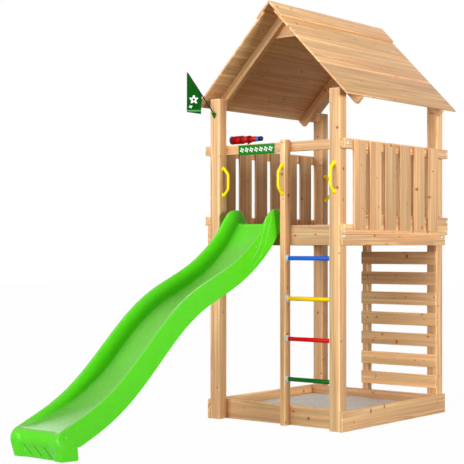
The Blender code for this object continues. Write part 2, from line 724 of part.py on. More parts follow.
def build_telescope_mount():
    """The bracket behind the rail, and the head that turns on it and holds the tilt pin."""
    x_span = (SCOPE_X - PLATE_HALF, SCOPE_X + PLATE_HALF)
    plate_y = (RAIL_BACK + GAP, RAIL_BACK + GAP + PLATE_THICK)
    shelf_y = (plate_y[1], SCOPE_Y + PLATE_HALF)
    shelf_z = (SHELF_TOP - PLATE_THICK, SHELF_TOP)
    base = union_mesh(
        ((x_span, plate_y, (SHELF_TOP - PLATE_HIGH, SHELF_TOP)), (x_span, shelf_y, shelf_z))
    )
    bracket = add_object("telescope_bracket", base, BRACKET_GREY)
    stud_base = (SCOPE_X, SCOPE_Y, SHELF_TOP - 2 * PLATE_THICK)
    hole = ((0.0, STUD_RADIUS + PIN_FIT), (4 * PLATE_THICK, STUD_RADIUS + PIN_FIT))
    add_boolean(bracket, turned_mesh(hole, stud_base, (0, 0, 1), 20), "DIFFERENCE")
    floor = SHELF_TOP + GAP
    rise = floor - stud_base[2]
    stations = (
        (0.0, STUD_RADIUS),
        (rise, STUD_RADIUS),
        (rise, HEAD_RADIUS),
        (rise + HEAD_THICK, HEAD_RADIUS),
    )
    head = turned_mesh(stations, stud_base, (0, 0, 1), 20)
    fork = add_object("telescope_fork", head, BRACKET_GREY, (SCOPE_X, SCOPE_Y, floor))
    ear_x = (SCOPE_X - EAR_HALF, SCOPE_X + EAR_HALF)
    ear_z = (floor + 0.5 * HEAD_THICK, TILT_Z + EAR_HALF)
    for side in (-1, 1):
        near, far = mirrored_span(side, LUG_HALF + GAP, LUG_HALF + GAP + EAR_THICK)
        ear = box_mesh(ear_x, (SCOPE_Y + near, SCOPE_Y + far), ear_z)
        add_boolean(fork, ear, "UNION")
    reach = LUG_HALF + EAR_THICK
    pin = turned_mesh(
        ((-reach, PIN_RADIUS), (reach, PIN_RADIUS)), (SCOPE_X, SCOPE_Y, TILT_Z), (0, 1, 0), 16
    )
    add_boolean(fork, pin, "UNION")


def build_telescope_tube():
    middle = (SCOPE_X, SCOPE_Y, SCOPE_Z)
    body = SCOPE_RADIUS - 0.001
    second = SCOPE_RADIUS * 0.82
    third = SCOPE_RADIUS * 0.60
    eyepiece = SCOPE_RADIUS * 0.56
    length = SCOPE_FRONT + SCOPE_REAR
    stations = (
        (0.0, SCOPE_RADIUS * 0.86),
        (length * 0.008, SCOPE_RADIUS),
        (length * 0.035, SCOPE_RADIUS),
        (length * 0.042, body),
        (length * 0.325, body),
        (length * 0.335, SCOPE_RADIUS),
        (length * 0.375, SCOPE_RADIUS),
        (length * 0.385, second),
        (length * 0.560, second),
        (length * 0.570, second * 1.06),
        (length * 0.620, second * 1.06),
        (length * 0.640, third * 1.15),
        (length * 0.830, third),
        (length * 0.840, third * 0.90),
        (length * 0.905, third * 0.90),
        (length * 0.915, eyepiece),
        (length * 0.985, eyepiece),
        (length, eyepiece * 0.80),
    )
    start = (SCOPE_X - SCOPE_FRONT, SCOPE_Y, SCOPE_Z)
    pivot = (SCOPE_X, SCOPE_Y, TILT_Z)
    tube = add_object("telescope_tube", turned_mesh(stations, start, (1, 0, 0), 28), RED, pivot)
    lug = box_mesh(
        (SCOPE_X - LUG_REACH, SCOPE_X + LUG_REACH),
        (SCOPE_Y - LUG_HALF, SCOPE_Y + LUG_HALF),
        (TILT_Z - LUG_REACH, middle[2] - 0.5 * SCOPE_RADIUS),
    )
    add_boolean(tube, lug, "UNION")
    hole = PIN_RADIUS + PIN_FIT
    reach = 2 * LUG_HALF
    add_boolean(
        tube, turned_mesh(((-reach, hole), (reach, hole)), pivot, (0, 1, 0), 16), "DIFFERENCE"
    )


def cup_mesh():
    """A wall cup: a cone whose back is cut flat against the post."""
    wall = -HALF_D - GAP
    sides = 20
    rings = []
    for share in (0.0, 0.12, 0.90, 1.0):
        radius = CUP_TIP + (CUP_RADIUS - CUP_TIP) * share ** 0.8
        middle = wall - radius * CUP_STAND_OFF
        ring = []
        for index in range(sides):
            angle = math.tau * index / sides
            x_place = CUP_X + radius * math.cos(angle)
            y_place = min(middle + radius * math.sin(angle), wall)
            ring.append(Vector((x_place, y_place, CUP_LOW + CUP_HIGH * share)))
        rings.append(ring)
    return ring_skin(rings)


def pole_ends():
    """The pole stands in the middle of the cup and leans out past the roof's verge."""
    wall = -HALF_D - GAP
    foot = Vector((CUP_X, wall - CUP_RADIUS * CUP_STAND_OFF, CUP_LOW + CUP_HIGH + GAP))
    return foot, foot + POLE_LEAN


def build_flag():
    foot, tip = pole_ends()
    along = (tip - foot).normalized()
    short = 0.5 * CUP_RADIUS
    path = (
        (foot - Vector((0, 0, short)), POLE_RADIUS),
        (foot, POLE_RADIUS),
        (foot + along * short, POLE_RADIUS),
        (tip - along * POLE_RADIUS, POLE_RADIUS),
        (tip, POLE_RADIUS * 0.6),
    )
    pole = add_object("flag_pole", cup_mesh(), BRACKET_GREY)
    add_boolean(pole, swept_mesh(path, 12), "UNION")
    # Each column of the cloth hangs straight down from its own point of the pole
    sheets = []
    for face in (0, 1):
        columns = []
        for step in range(CLOTH_COLUMNS + 1):
            share = step / CLOTH_COLUMNS
            top = tip + (foot - tip) * CLOTH_END * share
            low = CLOTH_LOW + CLOTH_RISE * (1 - share)
            column = []
            for row in range(CLOTH_ROWS + 1):
                drop = row / CLOTH_ROWS
                wave = CLOTH_WAVE * drop * (1 - math.cos(math.tau * (share * 1.5 + 0.1 * drop)))
                y_place = top.y - POLE_RADIUS - 2 * GAP - wave - CLOTH_THICK * face
                column.append(Vector((top.x, y_place, top.z + (low - top.z) * drop)))
            columns.append(column)
        sheets.append(columns)
    add_object("flag_cloth", sheet_skin(*sheets), DARK_GREEN)


def sheet_skin(back_points, fore_points):
    """A thin closed body between two grids of points."""
    mesh_data = bmesh.new()
    back = [[mesh_data.verts.new(p) for p in column] for column in back_points]
    fore = [[mesh_data.verts.new(p) for p in column] for column in fore_points]
    rims = []
    for sheet in (back, fore):
        for first, second in zip(sheet, sheet[1:]):
            for row in range(len(first) - 1):
                mesh_data.faces.new(
                    (first[row], first[row + 1], second[row + 1], second[row])
                )
        lower = [column[-1] for column in sheet]
        upper = [column[0] for column in sheet[-2:0:-1]]
        rims.append(sheet[0][:-1] + lower + sheet[-1][-2::-1] + upper)
    rim_back, rim_fore = rims
    for here in range(len(rim_back)):
        after = (here + 1) % len(rim_back)
        mesh_data.faces.new((rim_back[here], rim_back[after], rim_fore[after], rim_fore[here]))
    return mesh_data


def build_sign():
    y_span = (-POST_INNER - SIGN_THICK, -POST_INNER)
    top = FRONT_RAIL_TOP - SIGN_BELOW_TOP
    x_span = (SIGN_LEFT, SIGN_LEFT + SIGN_LONG)
    add_box("sign_plate", x_span, y_span, (top - SIGN_HIGH, top), DARK_GREEN, 0.25 * SIGN_THICK)


clear_scene()
build_posts()
build_sandbox()
build_deck()
build_rails()
build_palisades()
build_ladder()
build_climbing_wall()
build_handles()
build_roof()
build_slide()
build_telescope_mount()
build_telescope_tube()
build_flag()
build_sign()
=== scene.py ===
"""Looks for the wooden play tower: sawn pine, moulded plastic, coated rungs, sand, cloth and fasteners.

Everything is in metres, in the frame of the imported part: +Z is up and the slide runs down towards -Y.
"""

import math
import random

import bmesh
import bpy
from mathutils import Euler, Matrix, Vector


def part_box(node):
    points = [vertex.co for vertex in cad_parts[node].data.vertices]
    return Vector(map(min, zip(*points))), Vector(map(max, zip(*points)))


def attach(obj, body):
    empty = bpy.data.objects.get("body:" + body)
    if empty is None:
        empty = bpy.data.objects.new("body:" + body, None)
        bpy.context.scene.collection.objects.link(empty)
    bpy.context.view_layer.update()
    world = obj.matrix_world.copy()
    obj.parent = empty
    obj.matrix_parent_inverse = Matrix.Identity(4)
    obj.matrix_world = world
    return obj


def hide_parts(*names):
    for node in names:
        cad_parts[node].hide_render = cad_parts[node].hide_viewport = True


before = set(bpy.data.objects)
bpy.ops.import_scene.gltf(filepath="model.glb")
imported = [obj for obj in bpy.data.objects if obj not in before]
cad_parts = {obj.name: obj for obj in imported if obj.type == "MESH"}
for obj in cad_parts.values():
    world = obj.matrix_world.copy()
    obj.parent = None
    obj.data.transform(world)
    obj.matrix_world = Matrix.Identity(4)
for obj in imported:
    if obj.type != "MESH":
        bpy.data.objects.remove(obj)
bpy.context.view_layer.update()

# Sizes that come from the frame
POST_LOW, POST_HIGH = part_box("post_front_right")
HALF_W = POST_HIGH.x
HALF_D = -POST_LOW.y
POST = POST_HIGH.x - POST_LOW.x
POST_HEIGHT = POST_HIGH.z
POST_SIDE = HALF_W - POST
POST_INNER = HALF_D - POST
DECK_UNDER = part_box("deck_beam_front")[0].z
DECK_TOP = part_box("deck_beam_front")[1].z
RAIL_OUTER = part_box("rail_top_right")[1].x
TOWER = "tower"
TUBE = "telescope_tube"
GAP = 0.0003

FLOAT = "NodeSocketFloat"
VECTOR = "NodeSocketVector"
COLOUR = "NodeSocketColor"


# Node helpers
def add(tree, kind, **settings):
    made = tree.nodes.new(kind)
    for name, value in settings.items():
        setattr(made, name, value)
    return made


def feed(tree, source, target):
    """Sets a socket to a value, or links another socket to it."""
    if isinstance(source, bpy.types.NodeSocket):
        tree.links.new(source, target)
    else:
        target.default_value = source


def feed_named(tree, made, values):
    """Feeds a node's sockets by name and returns its outputs."""
    for name, value in values.items():
        feed(tree, value, made.inputs[name])
    return made.outputs


def calculate(tree, operation, *values):
    made = add(tree, "ShaderNodeMath", operation=operation)
    for value, socket in zip(values, made.inputs):
        feed(tree, value, socket)
    return made.outputs[0]


def times(tree, first, second):
    return calculate(tree, "MULTIPLY", first, second)


def plus(tree, first, second):
    return calculate(tree, "ADD", first, second)


def minus(tree, first, second):
    return calculate(tree, "SUBTRACT", first, second)


def multiplied(tree, vector, factor):
    """Multiplies a place or a colour by one number."""
    made = add(tree, "ShaderNodeVectorMath", operation="SCALE")
    return feed_named(tree, made, {"Vector": vector, "Scale": factor})[0]


def stretched(tree, vector, factors):
    """Multiplies a place by one factor for each axis."""
    made = add(tree, "ShaderNodeVectorMath", operation="MULTIPLY")
    feed(tree, vector, made.inputs[0])
    feed(tree, factors, made.inputs[1])
    return made.outputs[0]


def noise(tree, vector, scale, detail=2.0, roughness=0.5):
    """Noise at one scale, or with one scale for each axis."""
    if isinstance(scale, tuple):
        vector = stretched(tree, vector, scale)
        scale = 1.0
    values = {"Vector": vector, "Scale": scale, "Detail": detail, "Roughness": roughness}
    return feed_named(tree, add(tree, "ShaderNodeTexNoise"), values)["Fac"]


def random_cells(tree, vector, **settings):
    """Distance from the nearest of some scattered points, and two random numbers of that point."""
    cells = add(tree, "ShaderNodeTexVoronoi", feature="F1", **settings)
    feed_named(tree, cells, {"Vector": vector, "Scale": 1.0})
    pick = add(tree, "ShaderNodeSeparateColor")
    feed(tree, cells.outputs["Color"], pick.inputs[0])
    return cells.outputs["Distance"], pick.outputs[0], pick.outputs[1]


def smooth_step(tree, value, low, high, to_low=0.0, to_high=1.0):
    made = add(tree, "ShaderNodeMapRange", interpolation_type="SMOOTHSTEP")
    limits = {"From Min": low, "From Max": high, "To Min": to_low, "To Max": to_high}
    return feed_named(tree, made, {"Value": value, **limits})["Result"]


def blend(tree, share, first, second):
    made = add(tree, "ShaderNodeMix", data_type="RGBA")
    feed(tree, share, made.inputs[0])
    feed(tree, first, made.inputs[6])
    feed(tree, second, made.inputs[7])
    return made.outputs[2]


def separated(tree, vector):
    """A vector's x, y and z."""
    made = add(tree, "ShaderNodeSeparateXYZ")
    feed(tree, vector, made.inputs[0])
    return made.outputs


def object_place(tree):
    return add(tree, "ShaderNodeTexCoord").outputs["Object"]


def new_sockets(tree, inputs, outputs):
    """Gives a tree its sockets: (name, kind, default) for inputs and (name, kind) for outputs."""
    identifiers = {}
    for name, kind, default in inputs:
        socket = tree.interface.new_socket(name, in_out="INPUT", socket_type=kind)
        if default is not None:
            socket.default_value = default
        identifiers[name] = socket.identifier
    for name, kind in outputs:
        tree.interface.new_socket(name, in_out="OUTPUT", socket_type=kind)
    return identifiers, tree.nodes.new("NodeGroupInput").outputs, tree.nodes.new("NodeGroupOutput").inputs


# Pine colours
EARLY_WOOD = (0.820, 0.500, 0.235, 1.0)
LATE_WOOD = (0.500, 0.230, 0.080, 1.0)
RED_WOOD = (0.690, 0.350, 0.165, 1.0)
SAP_WOOD = (0.910, 0.640, 0.320, 1.0)
KNOT_RIM = (0.420, 0.140, 0.045, 1.0)
KNOT_CORE = (0.280, 0.055, 0.018, 1.0)
KNOT_RIM_SHARE = 0.60
KNOT_CORE_SHARE = 0.80
# How much paler the rounded edges are made: a painted highlight
EDGE_HIGHLIGHT_LIFT = 0.32

# Knots: cells in a radian round the trunk and in a metre along it, and how far each part reaches
KNOTS_ROUND = 0.95
KNOTS_ALONG = 7.0
KNOT_CHANCE = 0.50
KNOT_SHRINK = (1.25, 2.60)
KNOT_BEND_FADE = (0.05, 0.42)
KNOT_CORE_FADE = (0.060, 0.085)
KNOT_RIM_FADE = (0.085, 0.150)

# Rings: how far they wander and bulge, and where late wood starts and peaks in each
RING_WANDER = 0.045
RING_BULGE = 0.007
LATE_START = 0.35
LATE_PEAK = 0.88

# Noises as (scale for each axis, detail, roughness), then ramps as two levels and the shares they give
WANDER_SCALE = (2.4, 2.4, 0.6)
STREAK_NOISE = ((42.0, 42.0, 0.9), 4.0, 0.62)
PATCH_SCALE = (7.0, 7.0, 1.1)
SAP_SCALE = (11.0, 11.0, 0.5)
FIBRE_NOISE = ((420.0, 420.0, 9.0), 2.0, 0.6)
LATE_RAMP = (0.30, 0.70, 0.35, 1.0)
RED_RAMP = (0.40, 0.68, 0.0, 0.60)
SAP_RAMP = (0.58, 0.68, 0.0, 0.55)
STREAK_RAMP = (0.32, 0.68, 0.72, 1.16)
FIBRE_RAMP = (0.20, 0.80, 0.955, 1.035)
PINE_ROUGHNESS = 0.66
LATE_GLOSS = 0.10
LATE_HEIGHT = 0.5
FIBRE_HEIGHT = 0.6


def make_pine_group():
    """Solid pine: growth rings round the pith, fibres along Z, and a few knots where branches were."""
    tree = bpy.data.node_groups.new("sawn_pine", "ShaderNodeTree")
    _, given, result = new_sockets(
        tree,
        (("Vector", VECTOR, None), ("Tone", FLOAT, 1.0), ("Edge", FLOAT, 0.0), ("Ring Width", FLOAT, 0.005)),
        (("Color", COLOUR), ("Roughness", FLOAT), ("Height", FLOAT)),
    )
    place = given["Vector"]
    # Branches run out from the pith, so a knot has its own angle and height, and the rings bend round it
    flat = separated(tree, place)
    angle = calculate(tree, "ARCTAN2", flat[1], flat[0])
    round_trunk = add(tree, "ShaderNodeCombineXYZ")
    feed(tree, times(tree, angle, KNOTS_ROUND), round_trunk.inputs[0])
    feed(tree, times(tree, flat[2], KNOTS_ALONG), round_trunk.inputs[1])
    distance, chance, shrink = random_cells(tree, round_trunk.outputs[0], voronoi_dimensions="2D")
    branch = calculate(tree, "LESS_THAN", chance, KNOT_CHANCE)
    away = times(tree, distance, smooth_step(tree, shrink, 0.0, 1.0, *KNOT_SHRINK))
    bend = times(tree, branch, smooth_step(tree, away, *KNOT_BEND_FADE, 1.0, 0.0))
    core = times(tree, branch, smooth_step(tree, away, *KNOT_CORE_FADE, 1.0, 0.0))
    rim = times(tree, branch, smooth_step(tree, away, *KNOT_RIM_FADE, 1.0, 0.0))
    # Rings: distance from the pith, with a slow wander along the trunk
    radius = add(tree, "ShaderNodeVectorMath", operation="LENGTH")
    feed(tree, stretched(tree, place, (1.0, 1.0, 0.0)), radius.inputs[0])
    wander = times(tree, noise(tree, place, WANDER_SCALE), RING_WANDER)
    depth = plus(tree, radius.outputs["Value"], wander)
    depth = plus(tree, depth, times(tree, bend, RING_BULGE))
    rings = calculate(tree, "FRACT", calculate(tree, "DIVIDE", depth, given["Ring Width"]))
    late = smooth_step(tree, rings, LATE_START, LATE_PEAK)
    late = times(tree, late, smooth_step(tree, rings, LATE_PEAK, 1.0, 1.0, 0.0))
    # Streaks and fibres are stretched along the grain
    streak = noise(tree, place, *STREAK_NOISE)
    patch = noise(tree, place, PATCH_SCALE)
    sap = noise(tree, place, SAP_SCALE)
    fibre = noise(tree, place, *FIBRE_NOISE)
    late_share = times(tree, late, smooth_step(tree, streak, *LATE_RAMP))
    colour = blend(tree, late_share, EARLY_WOOD, LATE_WOOD)
    colour = blend(tree, smooth_step(tree, patch, *RED_RAMP), colour, RED_WOOD)
    colour = blend(tree, smooth_step(tree, sap, *SAP_RAMP), colour, SAP_WOOD)
    level = smooth_step(tree, streak, *STREAK_RAMP)
    level = times(tree, level, smooth_step(tree, fibre, *FIBRE_RAMP))
    level = times(tree, level, given["Tone"])
    # Rounded edges are made paler as a painted highlight
    level = times(tree, level, calculate(tree, "MULTIPLY_ADD", given["Edge"], EDGE_HIGHLIGHT_LIFT, 1.0))
    colour = multiplied(tree, colour, level)
    colour = blend(tree, times(tree, rim, KNOT_RIM_SHARE), colour, KNOT_RIM)
    colour = blend(tree, times(tree, core, KNOT_CORE_SHARE), colour, KNOT_CORE)
    feed(tree, colour, result["Color"])
    feed(tree, calculate(tree, "MULTIPLY_ADD", late, -LATE_GLOSS, PINE_ROUGHNESS), result["Roughness"])
    height = plus(tree, times(tree, late, LATE_HEIGHT), times(tree, fibre, FIBRE_HEIGHT))
    feed(tree, height, result["Height"])
    return tree


# Handling marks on moulded and coated surfaces
MOTTLE_NOISE = (14.0, 3.0)
MOTTLE_GAIN = 4.0
SCUFF_NOISE = ((90.0, 12.0, 60.0), 4.0, 0.7)
SCUFF_RAMP = (0.58, 0.75)
SCUFF_ROUGHNESS = 0.14


def make_surface_group():
    """Fine handling marks and mottling for moulded and coated pieces."""
    tree = bpy.data.node_groups.new("handled_surface", "ShaderNodeTree")
    _, given, result = new_sockets(
        tree,
        (
            ("Vector", VECTOR, None),
            ("Color", COLOUR, (0.5, 0.5, 0.5, 1.0)),
            ("Grain Size", FLOAT, 0.0015),
            ("Mottle", FLOAT, 0.05),
            ("Base Roughness", FLOAT, 0.35),
        ),
        (("Color", COLOUR), ("Roughness", FLOAT), ("Height", FLOAT)),
    )
    place = given["Vector"]
    grain_scale = calculate(tree, "DIVIDE", 1.0, given["Grain Size"])
    grain = noise(tree, multiplied(tree, place, grain_scale), 1.0)
    scuff = smooth_step(tree, noise(tree, place, *SCUFF_NOISE), *SCUFF_RAMP)
    shade = minus(tree, noise(tree, place, *MOTTLE_NOISE), 0.5)
    shade = times(tree, times(tree, shade, given["Mottle"]), MOTTLE_GAIN)
    feed(tree, multiplied(tree, given["Color"], plus(tree, shade, 1.0)), result["Color"])
    rough = plus(tree, given["Base Roughness"], times(tree, scuff, SCUFF_ROUGHNESS))
    feed(tree, rough, result["Roughness"])
    feed(tree, grain, result["Height"])
    return tree


PINE_GROUP = make_pine_group()
SURFACE_GROUP = make_surface_group()

# Turns that bring a piece's grain on to Z, the axis that the pine group's grain follows
GRAIN_ALONG = {
    "x": (0.0, -math.pi / 2, 0.0),
    "y": (math.pi / 2, 0.0, 0.0),
    "z": (0.0, 0.0, 0.0),
}

# Where a timber lies in its trunk, and how the boards of a row differ
PITH_NEAR = 0.03
PITH_FAR = 0.07
TRUNK_LONG = 9.0
RING_NARROW = 0.0045
RING_BROAD = 0.0065
ROW_SHIFT = (0.011, -0.008, 1.37)
TONE_SEED = 0.37
TONE_LOW = 0.90
TONE_HIGH = 1.08
GRAIN_RELIEF = 0.0003

# Moulded and coated finishes, as (colour, roughness, mottle)
DARK_COAT = ((0.030, 0.032, 0.034), 0.45, 0.03)
FINISHES = {
    # Darker green of the slots' cut faces: painted shade in the recesses
    "slide_slot_shade_green": ((0.020, 0.220, 0.004), 0.50, 0.02),
    # Paler green of the thin ridges on the slide's outer wall: a painted highlight
    "slide_ridge_highlight_green": ((0.240, 0.800, 0.140), 0.25, 0.02),
    "flange_pale": ((0.550, 0.740, 0.860), 0.25, 0.0),
    "rung_green_coat": ((0.000, 0.150, 0.004), 0.30, 0.03),
    "rung_red_coat": ((0.800, 0.002, 0.002), 0.30, 0.03),
    "rung_yellow_coat": ((0.960, 0.640, 0.000), 0.30, 0.03),
    "rung_blue_coat": ((0.008, 0.130, 0.660), 0.30, 0.03),
    "handle_yellow": ((1.000, 0.780, 0.000), 0.28, 0.02),
    "telescope_bracket_coat": DARK_COAT,
    "telescope_fork_coat": DARK_COAT,
    "telescope_red": ((0.520, 0.004, 0.004), 0.25, 0.03),
    "telescope_dark_red": ((0.160, 0.002, 0.003), 0.35, 0.03),
    "telescope_blue": ((0.020, 0.190, 0.720), 0.25, 0.02),
    "telescope_black": ((0.008, 0.010, 0.016), 0.25, 0.02),
    "telescope_glass": ((0.030, 0.070, 0.110), 0.05, 0.0),
    "pole_black": ((0.012, 0.013, 0.012), 0.40, 0.02),
    "cup_green": ((0.003, 0.150, 0.010), 0.35, 0.03),
    "cap_pale_blue": ((0.560, 0.780, 0.880), 0.25, 0.0),
    "nail_steel": ((0.060, 0.035, 0.022), 0.50, 0.05),
}
PLASTIC_SHINE = 0.14
MOULD_GRAIN = 0.0012
MOULD_RELIEF = 0.00008
COAT_GRAIN = 0.0008
COAT_RELIEF = 0.00012


def new_material(name):
    material = bpy.data.materials.new(name)
    material.use_nodes = True
    tree = material.node_tree
    return material, tree, tree.nodes["Principled BSDF"]


def dress_shader(tree, shader, looks, relief):
    """Gives a shader its colour, its roughness and a bump of this depth."""
    bump = add(tree, "ShaderNodeBump")
    values = {"Strength": 1.0, "Distance": relief, "Height": looks["Height"]}
    normal = feed_named(tree, bump, values)["Normal"]
    values = {"Base Color": looks["Color"], "Roughness": looks["Roughness"], "Normal": normal}
    feed_named(tree, shader, values)


def pine(name, turn, seed, centre, tone=1.0, step=(0, 0, 0)):
    """One timber's own pine, cut from near the pith of its own trunk."""
    dice = random.Random(seed)
    material, tree, shader = new_material(name)
    turning = Euler(turn).to_matrix()
    pith_x = dice.uniform(PITH_NEAR, PITH_FAR)
    pith_y = dice.uniform(-PITH_FAR, -PITH_NEAR)
    pith = Vector((pith_x, pith_y, dice.uniform(0.0, TRUNK_LONG)))
    values = {
        "Vector": object_place(tree),
        "Rotation": turn,
        "Location": pith - turning @ Vector(centre),
    }
    place = feed_named(tree, add(tree, "ShaderNodeMapping"), values)["Vector"]
    # Boards made in a row carry their own number, which moves each to another part of the trunk
    number = add(tree, "ShaderNodeAttribute", attribute_name="board_number").outputs["Fac"]
    spread = add(tree, "ShaderNodeVectorMath", operation="MULTIPLY_ADD")
    feed(tree, number, spread.inputs[0])
    feed(tree, Vector(ROW_SHIFT) - turning @ Vector(step), spread.inputs[1])
    feed(tree, place, spread.inputs[2])
    own_tone = add(tree, "ShaderNodeTexWhiteNoise", noise_dimensions="1D")
    feed(tree, plus(tree, number, seed * TONE_SEED), own_tone.inputs["W"])
    levels = (tone * TONE_LOW, tone * TONE_HIGH)
    edge = add(tree, "ShaderNodeAttribute", attribute_name="rounded_edge")
    values = {
        "Vector": spread.outputs[0],
        "Tone": smooth_step(tree, own_tone.outputs["Value"], 0.0, 1.0, *levels),
        "Ring Width": dice.uniform(RING_NARROW, RING_BROAD),
        "Edge": edge.outputs["Fac"],
    }
    group = add(tree, "ShaderNodeGroup", node_tree=PINE_GROUP)
    dress_shader(tree, shader, feed_named(tree, group, values), GRAIN_RELIEF)
    return material


def handled(tree, shader, colour, roughness, mottle, grain, relief, shine=PLASTIC_SHINE):
    """Gives a shader the handled surface in this colour."""
    values = {
        "Vector": object_place(tree),
        "Color": colour,
        "Grain Size": grain,
        "Mottle": mottle,
        "Base Roughness": roughness,
    }
    group = add(tree, "ShaderNodeGroup", node_tree=SURFACE_GROUP)
    dress_shader(tree, shader, feed_named(tree, group, values), relief)
    shader.inputs["Specular IOR Level"].default_value = shine


def moulded(name, grain=MOULD_GRAIN, relief=MOULD_RELIEF):
    """One of the moulded and coated finishes, with a fine grain."""
    material, tree, shader = new_material(name)
    colour, roughness, mottle = FINISHES[name]
    handled(tree, shader, (*colour, 1.0), roughness, mottle, grain, relief)
    return material


# Mesh helpers
SMOOTH_ANGLE = 0.7
EDGE_ANGLE = 0.5
ROUNDING_STEPS = 3


def placed(name, data):
    """A new object in the scene."""
    made = bpy.data.objects.new(name, data)
    bpy.context.scene.collection.objects.link(made)
    return made


def link_piece(name, mesh, body, stands_for=()):
    piece = placed(name, mesh)
    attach(piece, body)
    if stands_for:
        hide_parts(*stands_for)
    return piece


def mesh_from(name, mesh_data, material, smooth_angle=SMOOTH_ANGLE):
    bmesh.ops.remove_doubles(mesh_data, verts=mesh_data.verts, dist=1e-6)
    bmesh.ops.recalc_face_normals(mesh_data, faces=mesh_data.faces)
    mesh = bpy.data.meshes.new(name)
    mesh_data.to_mesh(mesh)
    mesh_data.free()
    mesh.materials.append(material)
    mesh.polygons.foreach_set("use_smooth", [True] * len(mesh.polygons))
    mesh.set_sharp_from_angle(angle=smooth_angle)
    return mesh


def make_piece(name, mesh_data, material, slot, stands_for=(), body=TOWER, smooth_angle=SMOOTH_ANGLE):
    return link_piece(name, mesh_from(name, mesh_data, material, smooth_angle), body, stands_for)


def evaluated_mesh(name, thing):
    """The plain mesh that an object's modifiers make."""
    graph = bpy.context.evaluated_depsgraph_get()
    mesh = bpy.data.meshes.new_from_object(thing.evaluated_get(graph), depsgraph=graph)
    mesh.name = name
    return mesh


def middle_of(low, high):
    return (Vector(low) + Vector(high)) / 2


def rounded_box(low, high, rounding):
    mesh_data = bmesh.new()
    bmesh.ops.create_cube(mesh_data, size=1.0)
    bmesh.ops.scale(mesh_data, vec=Vector(high) - Vector(low), verts=mesh_data.verts)
    bmesh.ops.translate(mesh_data, vec=middle_of(low, high), verts=mesh_data.verts)
    round_over(mesh_data, rounding)
    return mesh_data


def round_over(mesh_data, rounding):
    """Rounds the sharp edges and marks the rounding faces, which the pine group makes paler as a painted
    highlight.
    """
    bmesh.ops.recalc_face_normals(mesh_data, faces=mesh_data.faces)
    edge_mark = mesh_data.faces.layers.float.new("rounded_edge")
    sharp = [edge for edge in mesh_data.edges if edge.calc_face_angle(0.0) > EDGE_ANGLE]
    made = bmesh.ops.bevel(
        mesh_data, geom=sharp, offset=rounding, segments=ROUNDING_STEPS, profile=0.5, affect="EDGES"
    )
    for face in made["faces"]:
        face[edge_mark] = 1.0


def ring_skin(rings, mesh_data=None):
    """A closed skin over rings of points, in a mesh of its own or added to another."""
    if mesh_data is None:
        mesh_data = bmesh.new()
    rows = [[mesh_data.verts.new(point) for point in ring] for ring in rings]
    for row, after in zip(rows, rows[1:]):
        for here in range(len(row)):
            beyond = (here + 1) % len(row)
            mesh_data.faces.new((row[here], row[beyond], after[beyond], after[here]))
    mesh_data.faces.new(rows[0][::-1])
    mesh_data.faces.new(rows[-1])
    return mesh_data


def round_angles(sides):
    return [math.tau * index / sides for index in range(sides)]


def sized(shares, long, wide):
    """Stations in metres from shares of a length and of a radius."""
    return [(along * long, around * wide) for along, around in shares]


def turned(stations, start, direction, sides=40, ripple=0.0):
    """A body of revolution from (distance along, radius) pairs, with a share of ripple round it."""
    turn = Vector(direction).normalized().to_track_quat("Z", "Y").to_matrix()
    rings = []
    for distance, radius in stations:
        ring = []
        for index, angle in enumerate(round_angles(sides)):
            wide = radius * (1 + ripple * math.cos(index * math.pi / 2))
            flat = Vector((wide * math.cos(angle), wide * math.sin(angle), distance))
            ring.append(Vector(start) + turn @ flat)
        rings.append(ring)
    return ring_skin(rings)


def swept(path, sides):
    """A round bar from (point, radius) pairs, with its rings square to the path."""
    points = [Vector(point) for point, _ in path]
    rings = []
    side_way = None
    for index, (_, radius) in enumerate(path):
        before = points[max(index - 1, 0)]
        after = points[min(index + 1, len(points) - 1)]
        along = (after - before).normalized()
        if side_way is None:
            side_way = along.orthogonal().normalized()
        side_way = (side_way - along * side_way.dot(along)).normalized()
        other_way = along.cross(side_way)
        ring = []
        for angle in round_angles(sides):
            around = side_way * math.cos(angle) + other_way * math.sin(angle)
            ring.append(points[index] + around * radius)
        rings.append(ring)
    return ring_skin(rings)


def smooth_path(points, steps):
    """Catmull-Rom points through (place, radius) pairs."""
    result = []
    for index in range(len(points) - 1):
        ends = [points[min(max(index + shift, 0), len(points) - 1)] for shift in (-1, 0, 1, 2)]
        for step in range(steps):
            t = step / steps
            weights = (
                -0.5 * t + t * t - 0.5 * t**3,
                1 - 2.5 * t * t + 1.5 * t**3,
                0.5 * t + 2 * t * t - 1.5 * t**3,
                -0.5 * t * t + 0.5 * t**3,
            )
            place = Vector((0, 0, 0))
            radius = 0.0
            for weight, (point, size) in zip(weights, ends):
                place += Vector(point) * weight
                radius += size * weight
            result.append((place, radius))
    result.append((Vector(points[-1][0]), points[-1][1]))
    return result


def board(name, nodes, low, high, grain, rounding, seed, tone=1.0):
    """One sawn board with rounded edges."""
    material = pine(name + "_pine", GRAIN_ALONG[grain], seed, middle_of(low, high), tone)
    make_piece(name, rounded_box(low, high, rounding), material, "pine", nodes)


def timber(node, grain, rounding, tone=1.0):
    """A straight sawn timber in the place of its CAD node."""
    low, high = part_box(node)
    seed = sum(ord(letter) * (place + 3) for place, letter in enumerate(node))
    board(node + "_timber", (node,), low, high, grain, rounding, seed, tone)


# Rows and fasteners: geometry trees that copy a master object
def new_copy_tree(name, inputs=()):
    tree = bpy.data.node_groups.new(name, "GeometryNodeTree")
    tree.is_modifier = True
    always = (
        ("Geometry", "NodeSocketGeometry", None),
        ("Master", "NodeSocketObject", None),
        ("Finish", "NodeSocketMaterial", None),
    )
    return tree, *new_sockets(tree, always + inputs, (("Geometry", "NodeSocketGeometry"),))


def copies_on(tree, points, given):
    """A node that puts a copy of the master object on every point."""
    master = feed_named(tree, add(tree, "GeometryNodeObjectInfo"), {"Object": given["Master"]})
    copies = add(tree, "GeometryNodeInstanceOnPoints")
    feed_named(tree, copies, {"Points": points, "Instance": master["Geometry"]})
    return copies


